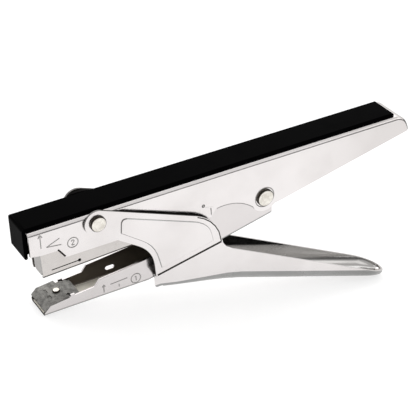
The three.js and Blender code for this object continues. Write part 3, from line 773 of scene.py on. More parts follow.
class GeometryTree:
    """A Geometry Nodes tree with named inputs that ends in Realize Instances and Set Material."""

    def __init__(self, name: str, inputs: dict[str, str]) -> None:
        """Starts the tree.

        Args:
            name: the tree's name.
            inputs: socket types by input name.
        """
        self.tree = bpy.data.node_groups.new(name, "GeometryNodeTree")
        self.graph = Graph(self.tree)
        face = self.tree.interface
        face.new_socket(name="Geometry", in_out="INPUT", socket_type="NodeSocketGeometry")
        self.ids = {
            key: face.new_socket(name=key, in_out="INPUT", socket_type=kind).identifier
            for key, kind in inputs.items()
        }
        face.new_socket(name="Geometry", in_out="OUTPUT", socket_type="NodeSocketGeometry")
        self.source = self.graph.node("NodeGroupInput")

    def given(self, name: str) -> bpy.types.NodeSocket:
        """The group input of that name."""
        return self.source.outputs[name]

    def close(self, geometry: bpy.types.NodeSocket) -> None:
        """Ends the tree.

        Args:
            geometry: what it makes.
        """
        smooth = self.graph.node("GeometryNodeSetShadeSmooth", None, {"Geometry": geometry})
        real = self.graph.node("GeometryNodeRealizeInstances", None, {"Geometry": smooth.outputs[0]})
        dressed = self.graph.node(
            "GeometryNodeSetMaterial",
            None,
            {"Geometry": real.outputs[0], "Material": self.given("Material")},
        )
        output = self.graph.node("NodeGroupOutput")
        self.tree.links.new(dressed.outputs[0], output.inputs[0])

    def run(self, drawing: bpy.types.Object, **values: Any) -> bpy.types.Object:
        """Applies the tree to a drawing.

        Args:
            drawing: the object with the lines to follow.
            values: the inputs' values, spaces written as underscores.

        Returns:
            The same object with a plain mesh.
        """
        modifier = drawing.modifiers.new("build", "NODES")
        modifier.node_group = self.tree
        for name, value in values.items():
            modifier[self.ids[name.replace("_", " ")]] = value
        apply_modifiers(drawing)
        face_out(drawing)
        return drawing


def swept_wire_tree() -> GeometryTree:
    """A round wire along each line of a drawing, with rounded corners.

    Returns:
        The tree.
    """
    made = GeometryTree(
        "swept_wire",
        {"Wire Radius": "NodeSocketFloat", "Corner Radius": "NodeSocketFloat",
         "Sides": "NodeSocketInt", "Material": "NodeSocketMaterial"},
    )
    made.close(swept_wire(made).outputs[0])
    return made


def swept_wire(made: GeometryTree) -> bpy.types.Node:
    """Adds the nodes that sweep a circle along the drawing's lines.

    Args:
        made: the tree they go in.

    Returns:
        The last of them.
    """
    graph = made.graph
    line = graph.node("GeometryNodeMeshToCurve", None, {"Mesh": made.given("Geometry")})
    rounded = graph.node(
        "GeometryNodeFilletCurve",
        {"mode": "POLY"},
        {"Curve": line.outputs[0], "Count": 4, "Radius": made.given("Corner Radius"), "Limit Radius": True},
    )
    circle = graph.node(
        "GeometryNodeCurvePrimitiveCircle",
        None,
        {"Resolution": made.given("Sides"), "Radius": made.given("Wire Radius")},
    )
    return graph.node(
        "GeometryNodeCurveToMesh",
        None,
        {"Curve": rounded.outputs[0], "Profile Curve": circle.outputs[0], "Fill Caps": True},
    )


def staple_row_tree() -> GeometryTree:
    """One bent staple repeated along the magazine, each a hair out of line.

    Returns:
        The tree.
    """
    made = GeometryTree(
        "staple_row",
        {"Wire Radius": "NodeSocketFloat", "Corner Radius": "NodeSocketFloat", "Sides": "NodeSocketInt",
         "Count": "NodeSocketInt", "Pitch": "NodeSocketFloat", "Stray": "NodeSocketFloat",
         "Seed": "NodeSocketInt", "Material": "NodeSocketMaterial"},
    )
    graph = made.graph
    staple = swept_wire(made)
    step = graph.node("ShaderNodeCombineXYZ", None, {"X": made.given("Pitch")})
    line = graph.node(
        "GeometryNodeMeshLine", {"mode": "OFFSET"}, {"Count": made.given("Count"), "Offset": step.outputs[0]}
    )
    back = graph.node("ShaderNodeMath", {"operation": "MULTIPLY"}, {0: made.given("Stray"), 1: -1.0})
    stray = graph.node(
        "FunctionNodeRandomValue",
        {"data_type": "FLOAT"},
        {2: back.outputs[0], 3: made.given("Stray"), "Seed": made.given("Seed")},
    )
    shift = graph.node("ShaderNodeCombineXYZ", None, {"Y": stray.outputs[1], "Z": stray.outputs[1]})
    moved = graph.node(
        "GeometryNodeSetPosition", None, {"Geometry": line.outputs[0], "Offset": shift.outputs[0]}
    )
    row = graph.node(
        "GeometryNodeInstanceOnPoints", None, {"Points": moved.outputs[0], "Instance": staple.outputs[0]}
    )
    made.close(row.outputs[0])
    return made


def polylines(name: str, lines: Sequence[Sequence[Point]]) -> bpy.types.Object:
    """A drawing of lines; one that ends where it starts is closed.

    Args:
        name: the object's name.
        lines: each line's points.

    Returns:
        The object.
    """
    points: list[Point] = []
    edges: list[tuple[int, int]] = []
    for line in lines:
        closed = line[0] == line[-1]
        kept = list(line[:-1]) if closed else list(line)
        start = len(points)
        points += kept
        edges += [(start + i, start + i + 1) for i in range(len(kept) - 1)]
        if closed:
            edges.append((start + len(kept) - 1, start))
    return mesh_object(name, points, [], edges)


@dataclass(frozen=True)
class Patch:
    """Faces with a tone of their own, picked by their centre and normal in bar millimetres."""

    tone: Tone
    covers: Callable[[Vector, Vector], bool]


@dataclass(frozen=True)
class Channel:
    """A sheet bent to a channel, open up or down, for telling its faces apart.

    Attributes:
        half: half the width over its walls.
        sheet: its thickness.
        near: how far off a surface still counts as on it.
        skin: how far under the outside the cut edge's rounding ends.
        flat: a normal with more of Y than this is a flat wall's.
        turned: a normal with more of -Z than this is a bend's.
    """

    half: float
    sheet: float
    near: float = 0.02
    skin: float = 0.005
    flat: float = 0.98
    turned: float = 0.12

    @property
    def hollow(self) -> float:
        """Half the gap between its walls."""
        return self.half - self.sheet + self.near

    def inner(self, centre: Vector, normal: Vector) -> bool:
        """A face of a wall's inner side."""
        return abs(centre.y) < self.hollow and faces_in(centre, normal)

    def edge(self, centre: Vector, normal: Vector) -> bool:
        """A wall's cut edge, with its rounding."""
        return self.hollow < abs(centre.y) < self.half - self.skin and abs(normal.y) < self.flat

    def bend(self, centre: Vector, normal: Vector) -> bool:
        """The outside of a lower bend."""
        outward = normal.y * centre.y > 0 and abs(centre.y) > self.half / 2
        return outward and normal.z < -self.turned


def faces_in(centre: Vector, normal: Vector, lean: float = LEANS) -> bool:
    """Whether a face looks at the tool's middle plane."""
    return normal.y * centre.y < 0 and abs(normal.y) > lean


class Workshop:
    """What the sub-assemblies share: materials, painted shade and light tones, and node trees."""

    def __init__(self) -> None:
        """Makes the slots' materials, the painted shade and light tones, and the trees."""
        self.finishes_and_painted_light = {key: finish.make(key.value) for key, finish in FINISHES_AND_PAINTED_LIGHT.items()}
        self.wire = swept_wire_tree()
        self.staples = staple_row_tree()

    def settle(
        self,
        piece: bpy.types.Object,
        body: Body,
        slot: Slot,
        replaces: Sequence[str] = (),
        patches: Sequence[Patch] = (),
    ) -> None:
        """Dresses a finished piece and fixes it to its body.

        Args:
            piece: the object, with its place in its mesh.
            body: what it rides on.
            slot: its finish.
            replaces: the CAD nodes that it stands for.
            patches: faces with a tone of their own; the first that covers a face counts.
        """
        piece.data.materials.clear()
        for name in (slot, *(patch.tone for patch in patches)):
            piece.data.materials.append(self.finishes_and_painted_light[name])
        to_bar = BAR.matrix.inverted()
        for face in piece.data.polygons if patches else ():
            centre = to_bar @ face.center
            normal = (to_bar.to_3x3() @ face.normal).normalized()
            covering = (i for i, patch in enumerate(patches, 1) if patch.covers(centre, normal))
            face.material_index = next(covering, 0)
        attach(piece, body.value)
        if replaces:
            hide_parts(*replaces)
        count = len(piece.data.polygons)
        log.info("%s rides on %s, finish %s, %d faces", piece.name, body.value, slot.value, count)

    def pressed(
        self,
        node: str,
        name: str,
        body: Body,
        slot: Slot,
        soft: Softening,
        tools: Sequence[bpy.types.Object] = (),
        patches: Sequence[Patch] = (),
    ) -> None:
        """Makes a softened copy of a CAD solid, with marks cut in it.

        Args:
            node: the CAD node that it stands for.
            name: its name.
            body: what it rides on.
            slot: its finish.
            soft: how its edges are rounded.
            tools: closed shapes cut from it, used up.
            patches: faces with a tone of their own.
        """
        piece = soft.copy_of(node, name)
        soft.round_edges(piece)
        if tools:
            before = len(piece.data.polygons)
            carve(piece, tools)
            log.info("%s: %d faces, then %d after its marks", name, before, len(piece.data.polygons))
        place(piece, BAR.matrix)
        soft.shade(piece)
        self.settle(piece, body, slot, [node], patches)

    def swept(
        self,
        name: str,
        line: Sequence[Point],
        radius: float,
        slot: Slot,
        corner: float = 0.0,
        sides: int = 12,
        matrix: Matrix = BAR.matrix,
    ) -> bpy.types.Object:
        """A wire along a line in millimetres, put in its place.

        Args:
            name: the object's name.
            line: the line's points.
            radius: the wire's radius.
            slot: its finish.
            corner: the radius of its corners.
            sides: sides of the wire.
            matrix: the frame that the line is in.

        Returns:
            The object.
        """
        drawing = polylines(name, [line])
        self.wire.run(
            drawing, Wire_Radius=radius, Corner_Radius=corner, Sides=sides, Material=self.finishes_and_painted_light[slot]
        )
        return place(drawing, matrix)


# ---- Engraved marks ----------------------------------------------------------------------------


def ring(x: float, z: float, radius: float, steps: int = 28) -> list[Spot]:
    """A closed circle.

    Args:
        x: its middle's X.
        z: its middle's Z.
        radius: its radius.
        steps: straight lines round it.

    Returns:
        Its points, the last one on the first.
    """
    turn = 2 * math.pi / steps
    line = [(x + radius * math.cos(i * turn), z + radius * math.sin(i * turn)) for i in range(steps)]
    return [*line, line[0]]


def arrow(x: float, foot: float, head: float, wing: float) -> list[list[Spot]]:
    """An arrow pointing up, from foot to head."""
    barb = head - 1.7 * wing
    return [[(x, foot), (x, head)], [(x - wing, barb), (x, head), (x + wing, barb)]]


NUMERALS: dict[int, list[Spot]] = {
    1: [(-0.35, 0.55), (0.1, 1), (0.1, -1)],
    2: [(-0.55, 0.55), (-0.3, 0.95), (0.3, 0.95), (0.55, 0.5), (-0.55, -0.95), (0.6, -0.95)],
}


def numeral(x: float, z: float, digit: int) -> list[Spot]:
    """One numeral, centred, two millimetres high."""
    return [(x + across, z + up) for across, up in NUMERALS[digit]]


@dataclass(frozen=True)
class Engraving:
    """Strokes cut in a side face: generic working signs, no words.

    Attributes:
        face: half the width over the side faces.
        side: -1 for the near side, 1 for the far side.
        stroke: the radius of the tool.
        lift: how far the tool's middle stands off the face.
        flare: how far the face leans outward, per millimetre of X behind the front pivot.
        corner: radius of the corners of its lines.
        skin: how far under the face a groove's faces begin.
        flat: a normal with more of Y than this is the plain face's.
        sides: sides of the tool.
    """

    face: float
    side: int = -1
    stroke: float = 0.22
    lift: float = 0.05
    flare: float = 0.0
    corner: float = 0.12
    skin: float = 0.004
    flat: float = 0.999
    sides: int = 8

    def struck(self, centre: Vector, normal: Vector) -> bool:
        """A face of a mark's groove."""
        sunk = self.face - self.stroke < abs(centre.y) < self.face - self.skin
        return sunk and abs(normal.y) < self.flat

    def tools(self, workshop: Workshop, name: str, marks: Sequence[Sequence[Spot]]) -> list[bpy.types.Object]:
        """Closed tools for marks, one per line, so that none crosses itself.

        Args:
            workshop: sweeps them.
            name: the start of their names.
            marks: the lines' [x, z].

        Returns:
            The tools, in bar millimetres.
        """
        made: list[bpy.types.Object] = []
        outer = self.face + self.lift
        shape = (self.stroke, Slot.NICKEL, self.corner, self.sides, Matrix.Identity(4))
        for i, mark in enumerate(marks):
            line = [(x, self.side * (outer + self.flare * max(0.0, x - FRONT_PIVOT[0])), z) for x, z in mark]
            made.append(workshop.swept(f"{name}_{i}", line, *shape))
        return made


# ---- Sub-assemblies ----------------------------------------------------------------------------


@dataclass
class Bar:
    """The upper body pressing and the black top.

    Attributes:
        side: half its width.
        sheet: its thickness.
        shoulder: the Z under which its walls end in cut edges.
        rivet_seat: radius of the ring round the rear rivet.
        lever_shadow_arc: middle and radius of the line over the jaw lever.
        lever_shadow_turn: that line's start and step in degrees, and how many points it has.
        notch: the line at the front notch.
        notch_stroke: the radius of its tool.
        notch_box: corners of the area that holds it.
        signs: where the engraved signs begin and end in X.
        label: the ringed numeral's middle.
        arc_near: how close to the line over the lever a face is part of it.
        arc_front: the X behind which that line lies.
        ring_near: how far outside the ring round the rivet a face is part of it.
    """

    workshop: Workshop
    side: float = 7.8
    sheet: float = 0.9
    shoulder: float = -3.0
    rivet_seat: float = 3.95
    lever_shadow_arc: tuple[float, float, float] = (76.5, -32.5, 17.75)
    lever_shadow_turn: tuple[float, float, int] = (100, 5.4, 11)
    notch: Sequence[Spot] = ((11.5, -10.6), (14.0, -14.2))
    notch_stroke: float = 0.34
    notch_box: tuple[Spot, Spot] = ((10, -14.8), (14, -10.1))
    signs: Span = (2.5, 20)
    label: Spot = (17.1, -9.6)
    arc_near: float = 0.2
    arc_front: float = 60
    ring_near: float = 0.45

    def edge_tools(self) -> list[bpy.types.Object]:
        """Draws the lines over the jaw lever and at the front notch: grooves that carry a painted shadow.

        Returns:
            Their tools, for both sides.
        """
        x, z, radius = self.lever_shadow_arc
        start, step, points = self.lever_shadow_turn
        angles = [math.radians(start - step * i) for i in range(points)]
        arc = [(x + radius * math.cos(angle), z + radius * math.sin(angle)) for angle in angles]
        tools: list[bpy.types.Object] = []
        for side in (-1, 1):
            thin = Engraving(self.side, side, 0.17, 0.04, corner=LONG_BEND)
            bold = Engraving(self.side, side, self.notch_stroke, 0.05, corner=LONG_BEND)
            tools += thin.tools(self.workshop, "lever_shadow_line", [arc])
            tools += bold.tools(self.workshop, "notch_line", [self.notch])
        return tools

    def dark_notch(self, centre: Vector, normal: Vector) -> bool:
        """A face of the line at the front notch.

        Args:
            centre: the face's centre.
            normal: its normal.

        Returns:
            Whether it is one.
        """
        low, high = self.notch_box
        boxed = low[0] < centre.x < high[0] and low[1] < centre.z < high[1]
        return boxed and Engraving(self.side, -1, self.notch_stroke).struck(centre, normal)

    def struck(self, centre: Vector, normal: Vector) -> bool:
        """A face of a mark, well clear of the cut edges.

        Args:
            centre: the face's centre.
            normal: its normal.

        Returns:
            Whether it is one.
        """
        spot = (centre.x, centre.z)
        on_sign = self.signs[0] < centre.x < self.signs[1]
        on_ring = math.dist(spot, REAR_PIVOT) < self.rivet_seat + self.ring_near
        off_arc = abs(math.dist(spot, self.lever_shadow_arc[:2]) - self.lever_shadow_arc[2])
        on_arc = off_arc < self.arc_near and centre.x > self.arc_front
        return (on_sign or on_ring or on_arc) and Engraving(self.side).struck(centre, normal)

    def cut_edge(self, centre: Vector, normal: Vector) -> bool:
        """A cut edge of a side wall."""
        return centre.z < self.shoulder and Channel(self.side, self.sheet).edge(centre, normal)

    def under(self, centre: Vector, normal: Vector) -> bool:
        """A face inside the bar."""
        looks_in = normal.y * centre.y < 0 or normal.z < -LEANS
        return abs(centre.y) < Channel(self.side, self.sheet).hollow and looks_in

    def build(self) -> None:
        """Builds and dresses both pieces."""
        shop = self.workshop
        signs = [
            *arrow(5.5, -8.0, -2.6, 0.75),
            [(7.4, -8.2), (12.9, -8.9)],
            [(7.4, -8.2), (12.4, -6.2)],
            numeral(*self.label, 2),
            [(71.0, -14.0), (71.2, -16.9)],
            ring(68.0, -12.2, 0.5, 10),
            ring(*self.label, 1.95),
        ]
        seat = ring(*REAR_PIVOT, self.rivet_seat)
        tools = self.edge_tools() + Engraving(self.side).tools(shop, "bar_mark", [*signs, seat])
        tools += Engraving(self.side, 1).tools(shop, "far_mark", [seat])
        # Painted shade and shadow: a black line at the front notch, grey in the marks' grooves, dark cut
        # edges (partly bare steel), dark faces inside the bar.
        patches = [
            Patch(Tone.SHADED_CREASE, self.dark_notch),
            Patch(Tone.SHADED_STRUCK, self.struck),
            Patch(Tone.SHEARED_AND_SHADED, self.cut_edge),
            Patch(Tone.SHADED_INSIDE, self.under),
        ]
        shop.pressed(
            "upper_body", "bar_pressing", Body.UPPER, Slot.NICKEL, Softening(0.2, 2), tools, patches
        )
        shop.pressed("top_cap", "bar_top", Body.UPPER, Slot.CAP, Softening(0.18, 3))


@dataclass
class Rivet:
    """A cross rivet with a pressed head at both ends."""

    workshop: Workshop
    name: str
    node: str
    centre: Spot
    shank: float
    head: float
    thick: float
    seat: float
    crown_lean: float = 0.9

    def half(self) -> list[Spot]:
        """Draws one end.

        Returns:
            Its [radius, y], from the pole to the shank.
        """
        end = self.seat + self.thick
        crown = [
            (0.0, end - 0.06), (self.head * 0.35, end - 0.07), (self.head * 0.62, end - 0.03),
            (self.head * 0.78, end), (self.head - 0.3, end - 0.04), (self.head - 0.1, end - 0.16),
            (self.head, end - 0.38), (self.head, self.seat + 0.08), (self.head - 0.08, self.seat),
        ]
        return [*crown, (self.shank + 0.05, self.seat), (self.shank, self.seat - 0.1)]

    def build(self) -> None:
        """Builds and dresses the rivet."""
        side = self.half()
        other = [(radius, -y) for radius, y in reversed(side)]
        piece = place(lathe(self.name, self.centre, [*side, *other]), BAR.matrix)
        Softening().shade(piece)
        # Painted shadow on the heads' sides, where head meets plate.
        rim = Patch(Tone.SHADED_RIM, lambda _, normal: abs(normal.y) < self.crown_lean)
        self.workshop.settle(piece, Body.UPPER, Slot.RIVET, [self.node], [rim])


@dataclass
class Pivots:
    """Both cross rivets, their tubes and washers, and the return spring."""

    workshop: Workshop
    coil: float = 3.45
    wire: float = 0.45
    turns: float = 2.71
    pitch: float = 1.4
    leg: float = 27.2
    start: float = math.radians(231.5)
    steps: int = 88

    def coil_point(self, along: float, reach: float = 0.0) -> Point:
        """A point of the spring.

        Args:
            along: how far along its turns, 0 to 1.
            reach: how far out on the tangent from there.

        Returns:
            The point, in bar millimetres.
        """
        angle = self.start + along * self.turns * 2 * math.pi
        return (
            REAR_PIVOT[0] + self.coil * math.cos(angle) - reach * math.sin(angle),
            (along - 0.5) * self.turns * self.pitch,
            REAR_PIVOT[1] + self.coil * math.sin(angle) + reach * math.cos(angle),
        )

    def spring(self) -> None:
        """The torsion spring, with its lower leg lying in the jaw."""
        turns = [self.coil_point(i / self.steps) for i in range(self.steps + 1)]
        upper = [self.coil_point(0, -self.leg), *turns]
        lower = [self.coil_point(1), self.coil_point(1, self.leg)]
        coil = self.workshop.swept("return_spring_coil", upper, self.wire, Slot.SPRING)
        self.workshop.settle(coil, Body.UPPER, Slot.SPRING, ["return_spring"])
        leg = self.workshop.swept("return_spring_leg", lower, self.wire, Slot.SPRING)
        self.workshop.settle(leg, Body.JAW, Slot.SPRING)

    def build(self) -> None:
        """Builds and dresses every piece."""
        shop = self.workshop
        Rivet(shop, "front_rivet", "front_pivot_rivet", FRONT_PIVOT, 1.5, 2.95, 1.05, 8.95).build()
        Rivet(shop, "rear_rivet", "rear_pivot_rivet", REAR_PIVOT, 2.0, 3.35, 1.0, 7.9).build()
        for node in ("front_spacer_tube", "rear_pivot_bush", "pivot_washer_left", "pivot_washer_right"):
            shop.pressed(node, f"{node}_turned", Body.UPPER, Slot.STEEL, Softening(0.1, 1))
        self.spring()


@dataclass
class Driver:
    """The blade that drives the staple, and what holds it."""

    workshop: Workshop

    def build(self) -> None:
        """Builds and dresses the pieces."""
        for node in ("driver_block", "driver_blade", "driver_rivet"):
            self.workshop.pressed(node, f"{node}_ground", Body.UPPER, Slot.STEEL, Softening(0.08, 1))


@dataclass
class Handle:
    """The lower handle with its two ears, and the nylon saddle on its floor.

    Attributes:
        half: half the grip's width.
        sheet: its thickness.
        ear_inner: half the gap between the ears.
        ear_face: half the width over the ears at the front pivot.
        flare: how far they lean outward, per millimetre of X behind it.
        joggle: the line where grip and ears meet.
        ear_rear: the line up an ear's rear edge.
        step_front: the X behind which grip and ears are joined.
        rim: a point on the grip's rim.
        rim_slope: the rim's rise per millimetre of X.
        rim_depth: how far under its rim the grip's floor begins.
        groove: how far under the ear's face a line's faces lie, at most and at least.
        groove_flat: a normal with more of Y than this is no part of a line.
        panel_flat: one with more than this is a flat face's, not the panel's border.
        edge_flat: one with more than this is no cut edge's.
        wall_lean: one with less than this is no wall's.
    """

    workshop: Workshop
    half: float = 6.75
    sheet: float = 0.8
    ear_inner: float = 8.05
    ear_face: float = 8.85
    flare: float = 0.02
    joggle: Sequence[Spot] = ((47.7, -33.75), (73.9, -28.2))
    ear_rear: Sequence[Spot] = (
        (73.9, -28.2), (73.0, -23.7), (71.6, -20.8), (69.65, -18.3), (67.1, -16.2), (64.5, -14.8)
    )
    step_front: float = 45.0
    rim: Spot = (82.4, -36.6)
    rim_slope: float = -0.525
    rim_depth: float = 1.2
    groove: Span = (0.45, 0.003)
    groove_flat: float = 0.995
    panel_flat: float = 0.97
    edge_flat: float = 0.8
    wall_lean: float = 0.5

    def outside(self, centre: Vector) -> float:
        """How far a point lies outside the ear's flat face."""
        return abs(centre.y) - self.ear_face - self.flare * max(0.0, centre.x - FRONT_PIVOT[0])

    def crease(self, centre: Vector, normal: Vector) -> bool:
        """A face of the step between grip and ears, or of a line cut there.

        Args:
            centre: the face's centre.
            normal: its normal.

        Returns:
            Whether it is one.
        """
        deep, shallow = self.groove
        cut_in = -deep < self.outside(centre) < -shallow and abs(normal.y) < self.groove_flat
        stepped = abs(centre.y) > self.half + 0.05 and normal.z < -LEANS
        return centre.x > self.step_front and (cut_in or stepped)

    def panel_edge(self, centre: Vector, normal: Vector) -> bool:
        """The sloped border of the raised panel."""
        return self.outside(centre) > 0.01 and abs(normal.y) < self.panel_flat

    def line_tools(self) -> list[bpy.types.Object]:
        """Draws the lines along the joggle and up the ears' rear edges: grooves that carry a painted shadow.

        Returns:
            Their tools, for both sides.
        """
        tools: list[bpy.types.Object] = []
        for side in (-1, 1):
            bold = Engraving(self.ear_face, side, 0.4, 0.04, self.flare, LONG_BEND)
            thin = Engraving(self.ear_face, side, 0.22, 0.02, self.flare, LONG_BEND)
            tools += bold.tools(self.workshop, "joggle_line", [self.joggle])
            tools += thin.tools(self.workshop, "ear_line", [self.ear_rear])
        return tools

    def ear_edge(self, centre: Vector, normal: Vector) -> bool:
        """The cut edge of an ear."""
        across = abs(centre.y) > self.ear_inner and centre.x < self.step_front
        return across and abs(normal.y) < self.edge_flat

    def inner(self, centre: Vector, normal: Vector) -> bool:
        """The inner side of a wall, an ear or the tip."""
        return faces_in(centre, normal, self.wall_lean)

    def trough(self, centre: Vector, normal: Vector) -> bool:
        """The floor inside the grip, below its rim."""
        top = self.rim[1] + self.rim_slope * (centre.x - self.rim[0]) - self.rim_depth
        return abs(centre.y) < self.half - self.sheet and normal.z > LEANS and centre.z < top

    def build(self) -> None:
        """Builds and dresses the pieces."""
        # Painted shade, shadow and light: black lines at the joggle and ear edges, dark ear edges (partly
        # bare steel), grey panel border and lower bends, shaded inner walls, a lit floor.
        patches = [
            Patch(Tone.SHADED_CREASE, self.crease),
            Patch(Tone.SHEARED_AND_SHADED, self.ear_edge),
            Patch(Tone.SHADED_BEND, self.panel_edge),
            Patch(Tone.SHADED_WALL, self.inner),
            Patch(Tone.LIT_GRIP_FLOOR, self.trough),
            Patch(Tone.SHADED_BEND, Channel(self.half, self.sheet).bend),
        ]
        shop = self.workshop
        soft = Softening(0.16, 2)
        tools = self.line_tools()
        shop.pressed("lower_handle", "handle_pressing", Body.HANDLE, Slot.NICKEL, soft, tools, patches)
        shop.pressed("lifting_block", "lifting_saddle", Body.HANDLE, Slot.NYLON, Softening(0.25, 2))


@dataclass
class Jaw:
    """The lower jaw, its anvil and the rivet that holds it.

    Attributes:
        side: half its width.
        sheet: its thickness.
        nose: the X in front of which its front edge is painted dark, as shadow under the anvil.
        cheek: how wide that edge stays bright at each side.
        signs: where the engraved signs begin and end in X.
        signs_top: the Z under which they lie.
        label: the ringed numeral's middle.
        underside: a normal with more of -Z than this is the underside's.
        lip: the X in front of which the anvil's front edge is painted dark, as shade.
        lip_lean: a normal with more of -X than this is that edge's.
        rim_lean: a normal with less of Z than this is the side of the anvil's rivet.
    """

    workshop: Workshop
    side: float = 5.8
    sheet: float = 0.8
    nose: float = 9.0
    cheek: float = 0.7
    signs: Span = (26.0, 44.0)
    signs_top: float = -31.5
    label: Spot = (40.7, -34.45)
    underside: float = 0.9
    lip: float = 8.0
    lip_lean: float = 0.75
    rim_lean: float = 0.985

    def front(self, centre: Vector, normal: Vector) -> bool:
        """The front end, under the anvil's lip."""
        return centre.x < self.nose and (normal.x < -LEANS or abs(centre.y) < self.side - self.cheek)

    def struck(self, centre: Vector, normal: Vector) -> bool:
        """A face of a sign's groove."""
        within = self.signs[0] < centre.x < self.signs[1] and centre.z < self.signs_top
        return within and normal.z > -self.underside and Engraving(self.side).struck(centre, normal)

    def floor(self, centre: Vector, normal: Vector) -> bool:
        """The floor inside the jaw."""
        return abs(centre.y) < self.side - self.sheet and normal.z > LEANS

    def build(self) -> None:
        """Builds and dresses the pieces."""
        shop = self.workshop
        channel = Channel(self.side, self.sheet)
        # Painted shade, shadow and light: black under the anvil's lip, grey in the marks' grooves, dark inner
        # walls, a lit pale floor, grey lower bends, the rest a shaded copy of the plate.
        patches = [
            Patch(Tone.SHADED_CREASE, self.front),
            Patch(Tone.SHADED_STRUCK, self.struck),
            Patch(Tone.SHADED_INSIDE, channel.inner),
            Patch(Tone.LIT_TROUGH, self.floor),
            Patch(Tone.SHADED_BEND, channel.bend),
            Patch(Tone.SHADED_LEVER, lambda centre, normal: True),
        ]
        signs = [
            *arrow(28.0, -35.9, -32.6, 0.6),
            [(30.6, -33.4), (37.4, -33.0)],
            [(34.0, -35.6), (34.0, -34.4)],
            numeral(*self.label, 1),
            ring(*self.label, 1.9),
        ]
        tools = Engraving(self.side).tools(shop, "jaw_mark", signs)
        # Painted shadow: the anvil's front edge and the side of its rivet's head.
        lip = Patch(Tone.SHADED_CREASE, lambda centre, normal: centre.x < self.lip and normal.x < -self.lip_lean)
        rim = Patch(Tone.SHADED_RIM, lambda _, normal: normal.z < self.rim_lean)
        soft = Softening(0.16, 2)
        shop.pressed("lower_jaw", "jaw_pressing", Body.JAW, Slot.NICKEL, soft, tools, patches)
        shop.pressed(
            "anvil_plate", "anvil_blasted", Body.JAW, Slot.ANVIL, Softening(0.1, 2), patches=[lip]
        )
        shop.pressed("anvil_spacer", "anvil_packing", Body.JAW, Slot.STEEL, Softening(0.1, 1))
        shop.pressed(
            "anvil_rivet", "anvil_rivet_head", Body.JAW, Slot.RIVET, Softening(0.32, 2), patches=[rim]
        )


@dataclass
class Magazine:
    """The magazine channel with its rail, staples, pusher and springs."""

    workshop: Workshop
    half: float = 4.0
    staple_half: float = 3.55
    staple_leg: float = 4.0
    wire: float = 0.25
    strip_front: float = -85.1
    strip_length: float = 24.0
    foot: float = -1.6
    coil: float = 1.15
    coil_wire: float = 0.22
    coil_turns: int = 11
    coil_front: float = -52.95
    coil_rear: float = -31.35
    coil_height: float = 4.2
    coil_steps: int = 20
    stroke: float = 16.0
    wall_flat: float = 0.8
    bend_line: Span = (-0.42, -0.1)
    edge_lean: float = 0.6
    edge_low: float = -0.4

    def bend_start(self, _: Vector, normal: Vector) -> bool:
        """The start of the lower bend."""
        return self.bend_line[0] < normal.z < self.bend_line[1] and abs(normal.y) > self.wall_flat

    def cut_edge(self, centre: Vector, normal: Vector) -> bool:
        """A cut edge of the channel."""
        upper = abs(centre.y) > self.half and abs(normal.y) < self.wall_flat and normal.z > self.edge_low
        return normal.x < -self.edge_lean or upper

    @property
    def patches(self) -> list[Patch]:
        """The channel's painted shade: dark inside, a dark line where the lower bend starts, darker sides."""
        # Painted shade: dark inside, a black line at the lower bend, grey cut edges, sides darker.
        return [
            Patch(Tone.SHADED_INSIDE, faces_in),
            Patch(Tone.SHADED_CREASE, self.bend_start),
            Patch(Tone.SHADED_STRUCK, self.cut_edge),
            Patch(Tone.SHADED_MAGAZINE, lambda _, normal: normal.z > self.bend_line[1]),
        ]

    def strip(self) -> None:
        """The strip of single staples."""
        half = self.staple_half - self.wire
        top = self.foot + self.staple_leg - self.wire
        front = self.strip_front + self.wire
        left, right = (front, -half), (front, half)
        one = [(*left, self.foot), (*left, top), (*right, top), (*right, self.foot)]
        pitch = 2 * self.wire + 0.01
        drawing = polylines("staple_strip_wires", [one])
        self.workshop.staples.run(
            drawing, Wire_Radius=self.wire, Corner_Radius=0.45, Sides=8,
            Count=int(self.strip_length / pitch), Pitch=pitch, Stray=0.015, Seed=4,
            Material=self.workshop.finishes_and_painted_light[Slot.STAPLE],
        )
        place(drawing, BAR.magazine)
        self.workshop.settle(drawing, Body.MAGAZINE, Slot.STAPLE, ["staple_strip"])

    def spring(self) -> None:
        """The compression spring round the rod."""
        steps = self.coil_turns * self.coil_steps
        length = self.coil_rear - self.coil_front
        line: list[Point] = []
        for i in range(steps + 1):
            angle = self.coil_turns * 2 * math.pi * i / steps
            across, up = self.coil * math.cos(angle), self.coil * math.sin(angle)
            line.append((self.coil_front + length * i / steps, across, self.coil_height + up))
        piece = self.workshop.swept(
            "pusher_spring_coil", line, self.coil_wire, Slot.SPRING, sides=8, matrix=BAR.magazine
        )
        self.workshop.settle(piece, Body.MAGAZINE, Slot.SPRING, ["pusher_spring"])
        anchor = BAR.magazine @ Vector((self.coil_rear, 0, self.coil_height))
        axis = (BAR.magazine.to_3x3() @ Vector((1, 0, 0))).normalized()
        keep = (length - self.stroke) / length
        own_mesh(piece)

    def build(self) -> None:
        """Builds and dresses the pieces."""
        shop = self.workshop
        pieces = [
            ("magazine_channel", "magazine_pressing", Slot.NICKEL, Softening(0.12, 2)),
            ("magazine_front_plate", "magazine_nose_plate", Slot.NICKEL, Softening(0.1, 2)),
            ("magazine_yoke", "magazine_bracket", Slot.STEEL, Softening(0.08, 1)),
            ("staple_rail", "staple_core", Slot.STEEL, Softening(0.12, 1)),
            ("rail_rivet", "core_rivet", Slot.STEEL, Softening(0.08, 2)),
            ("spring_abutment", "spring_stop", Slot.STEEL, Softening(0.1, 1)),
            ("catch_pin", "snap_pin", Slot.STEEL, Softening(0.08, 1)),
        ]
        for node, name, slot, soft in pieces:
            patches = self.patches if slot is Slot.NICKEL else ()
            shop.pressed(node, name, Body.MAGAZINE, slot, soft, patches=patches)
        shop.pressed("staple_pusher", "pusher_saddle", Body.PUSHER, Slot.NYLON, Softening(0.2, 2))
        shop.pressed("pusher_rod", "pusher_guide_rod", Body.PUSHER, Slot.STEEL, Softening(0.08, 2))
        self.strip()
        self.spring()


# ---- Studio ------------------------------------------------------------------------------------


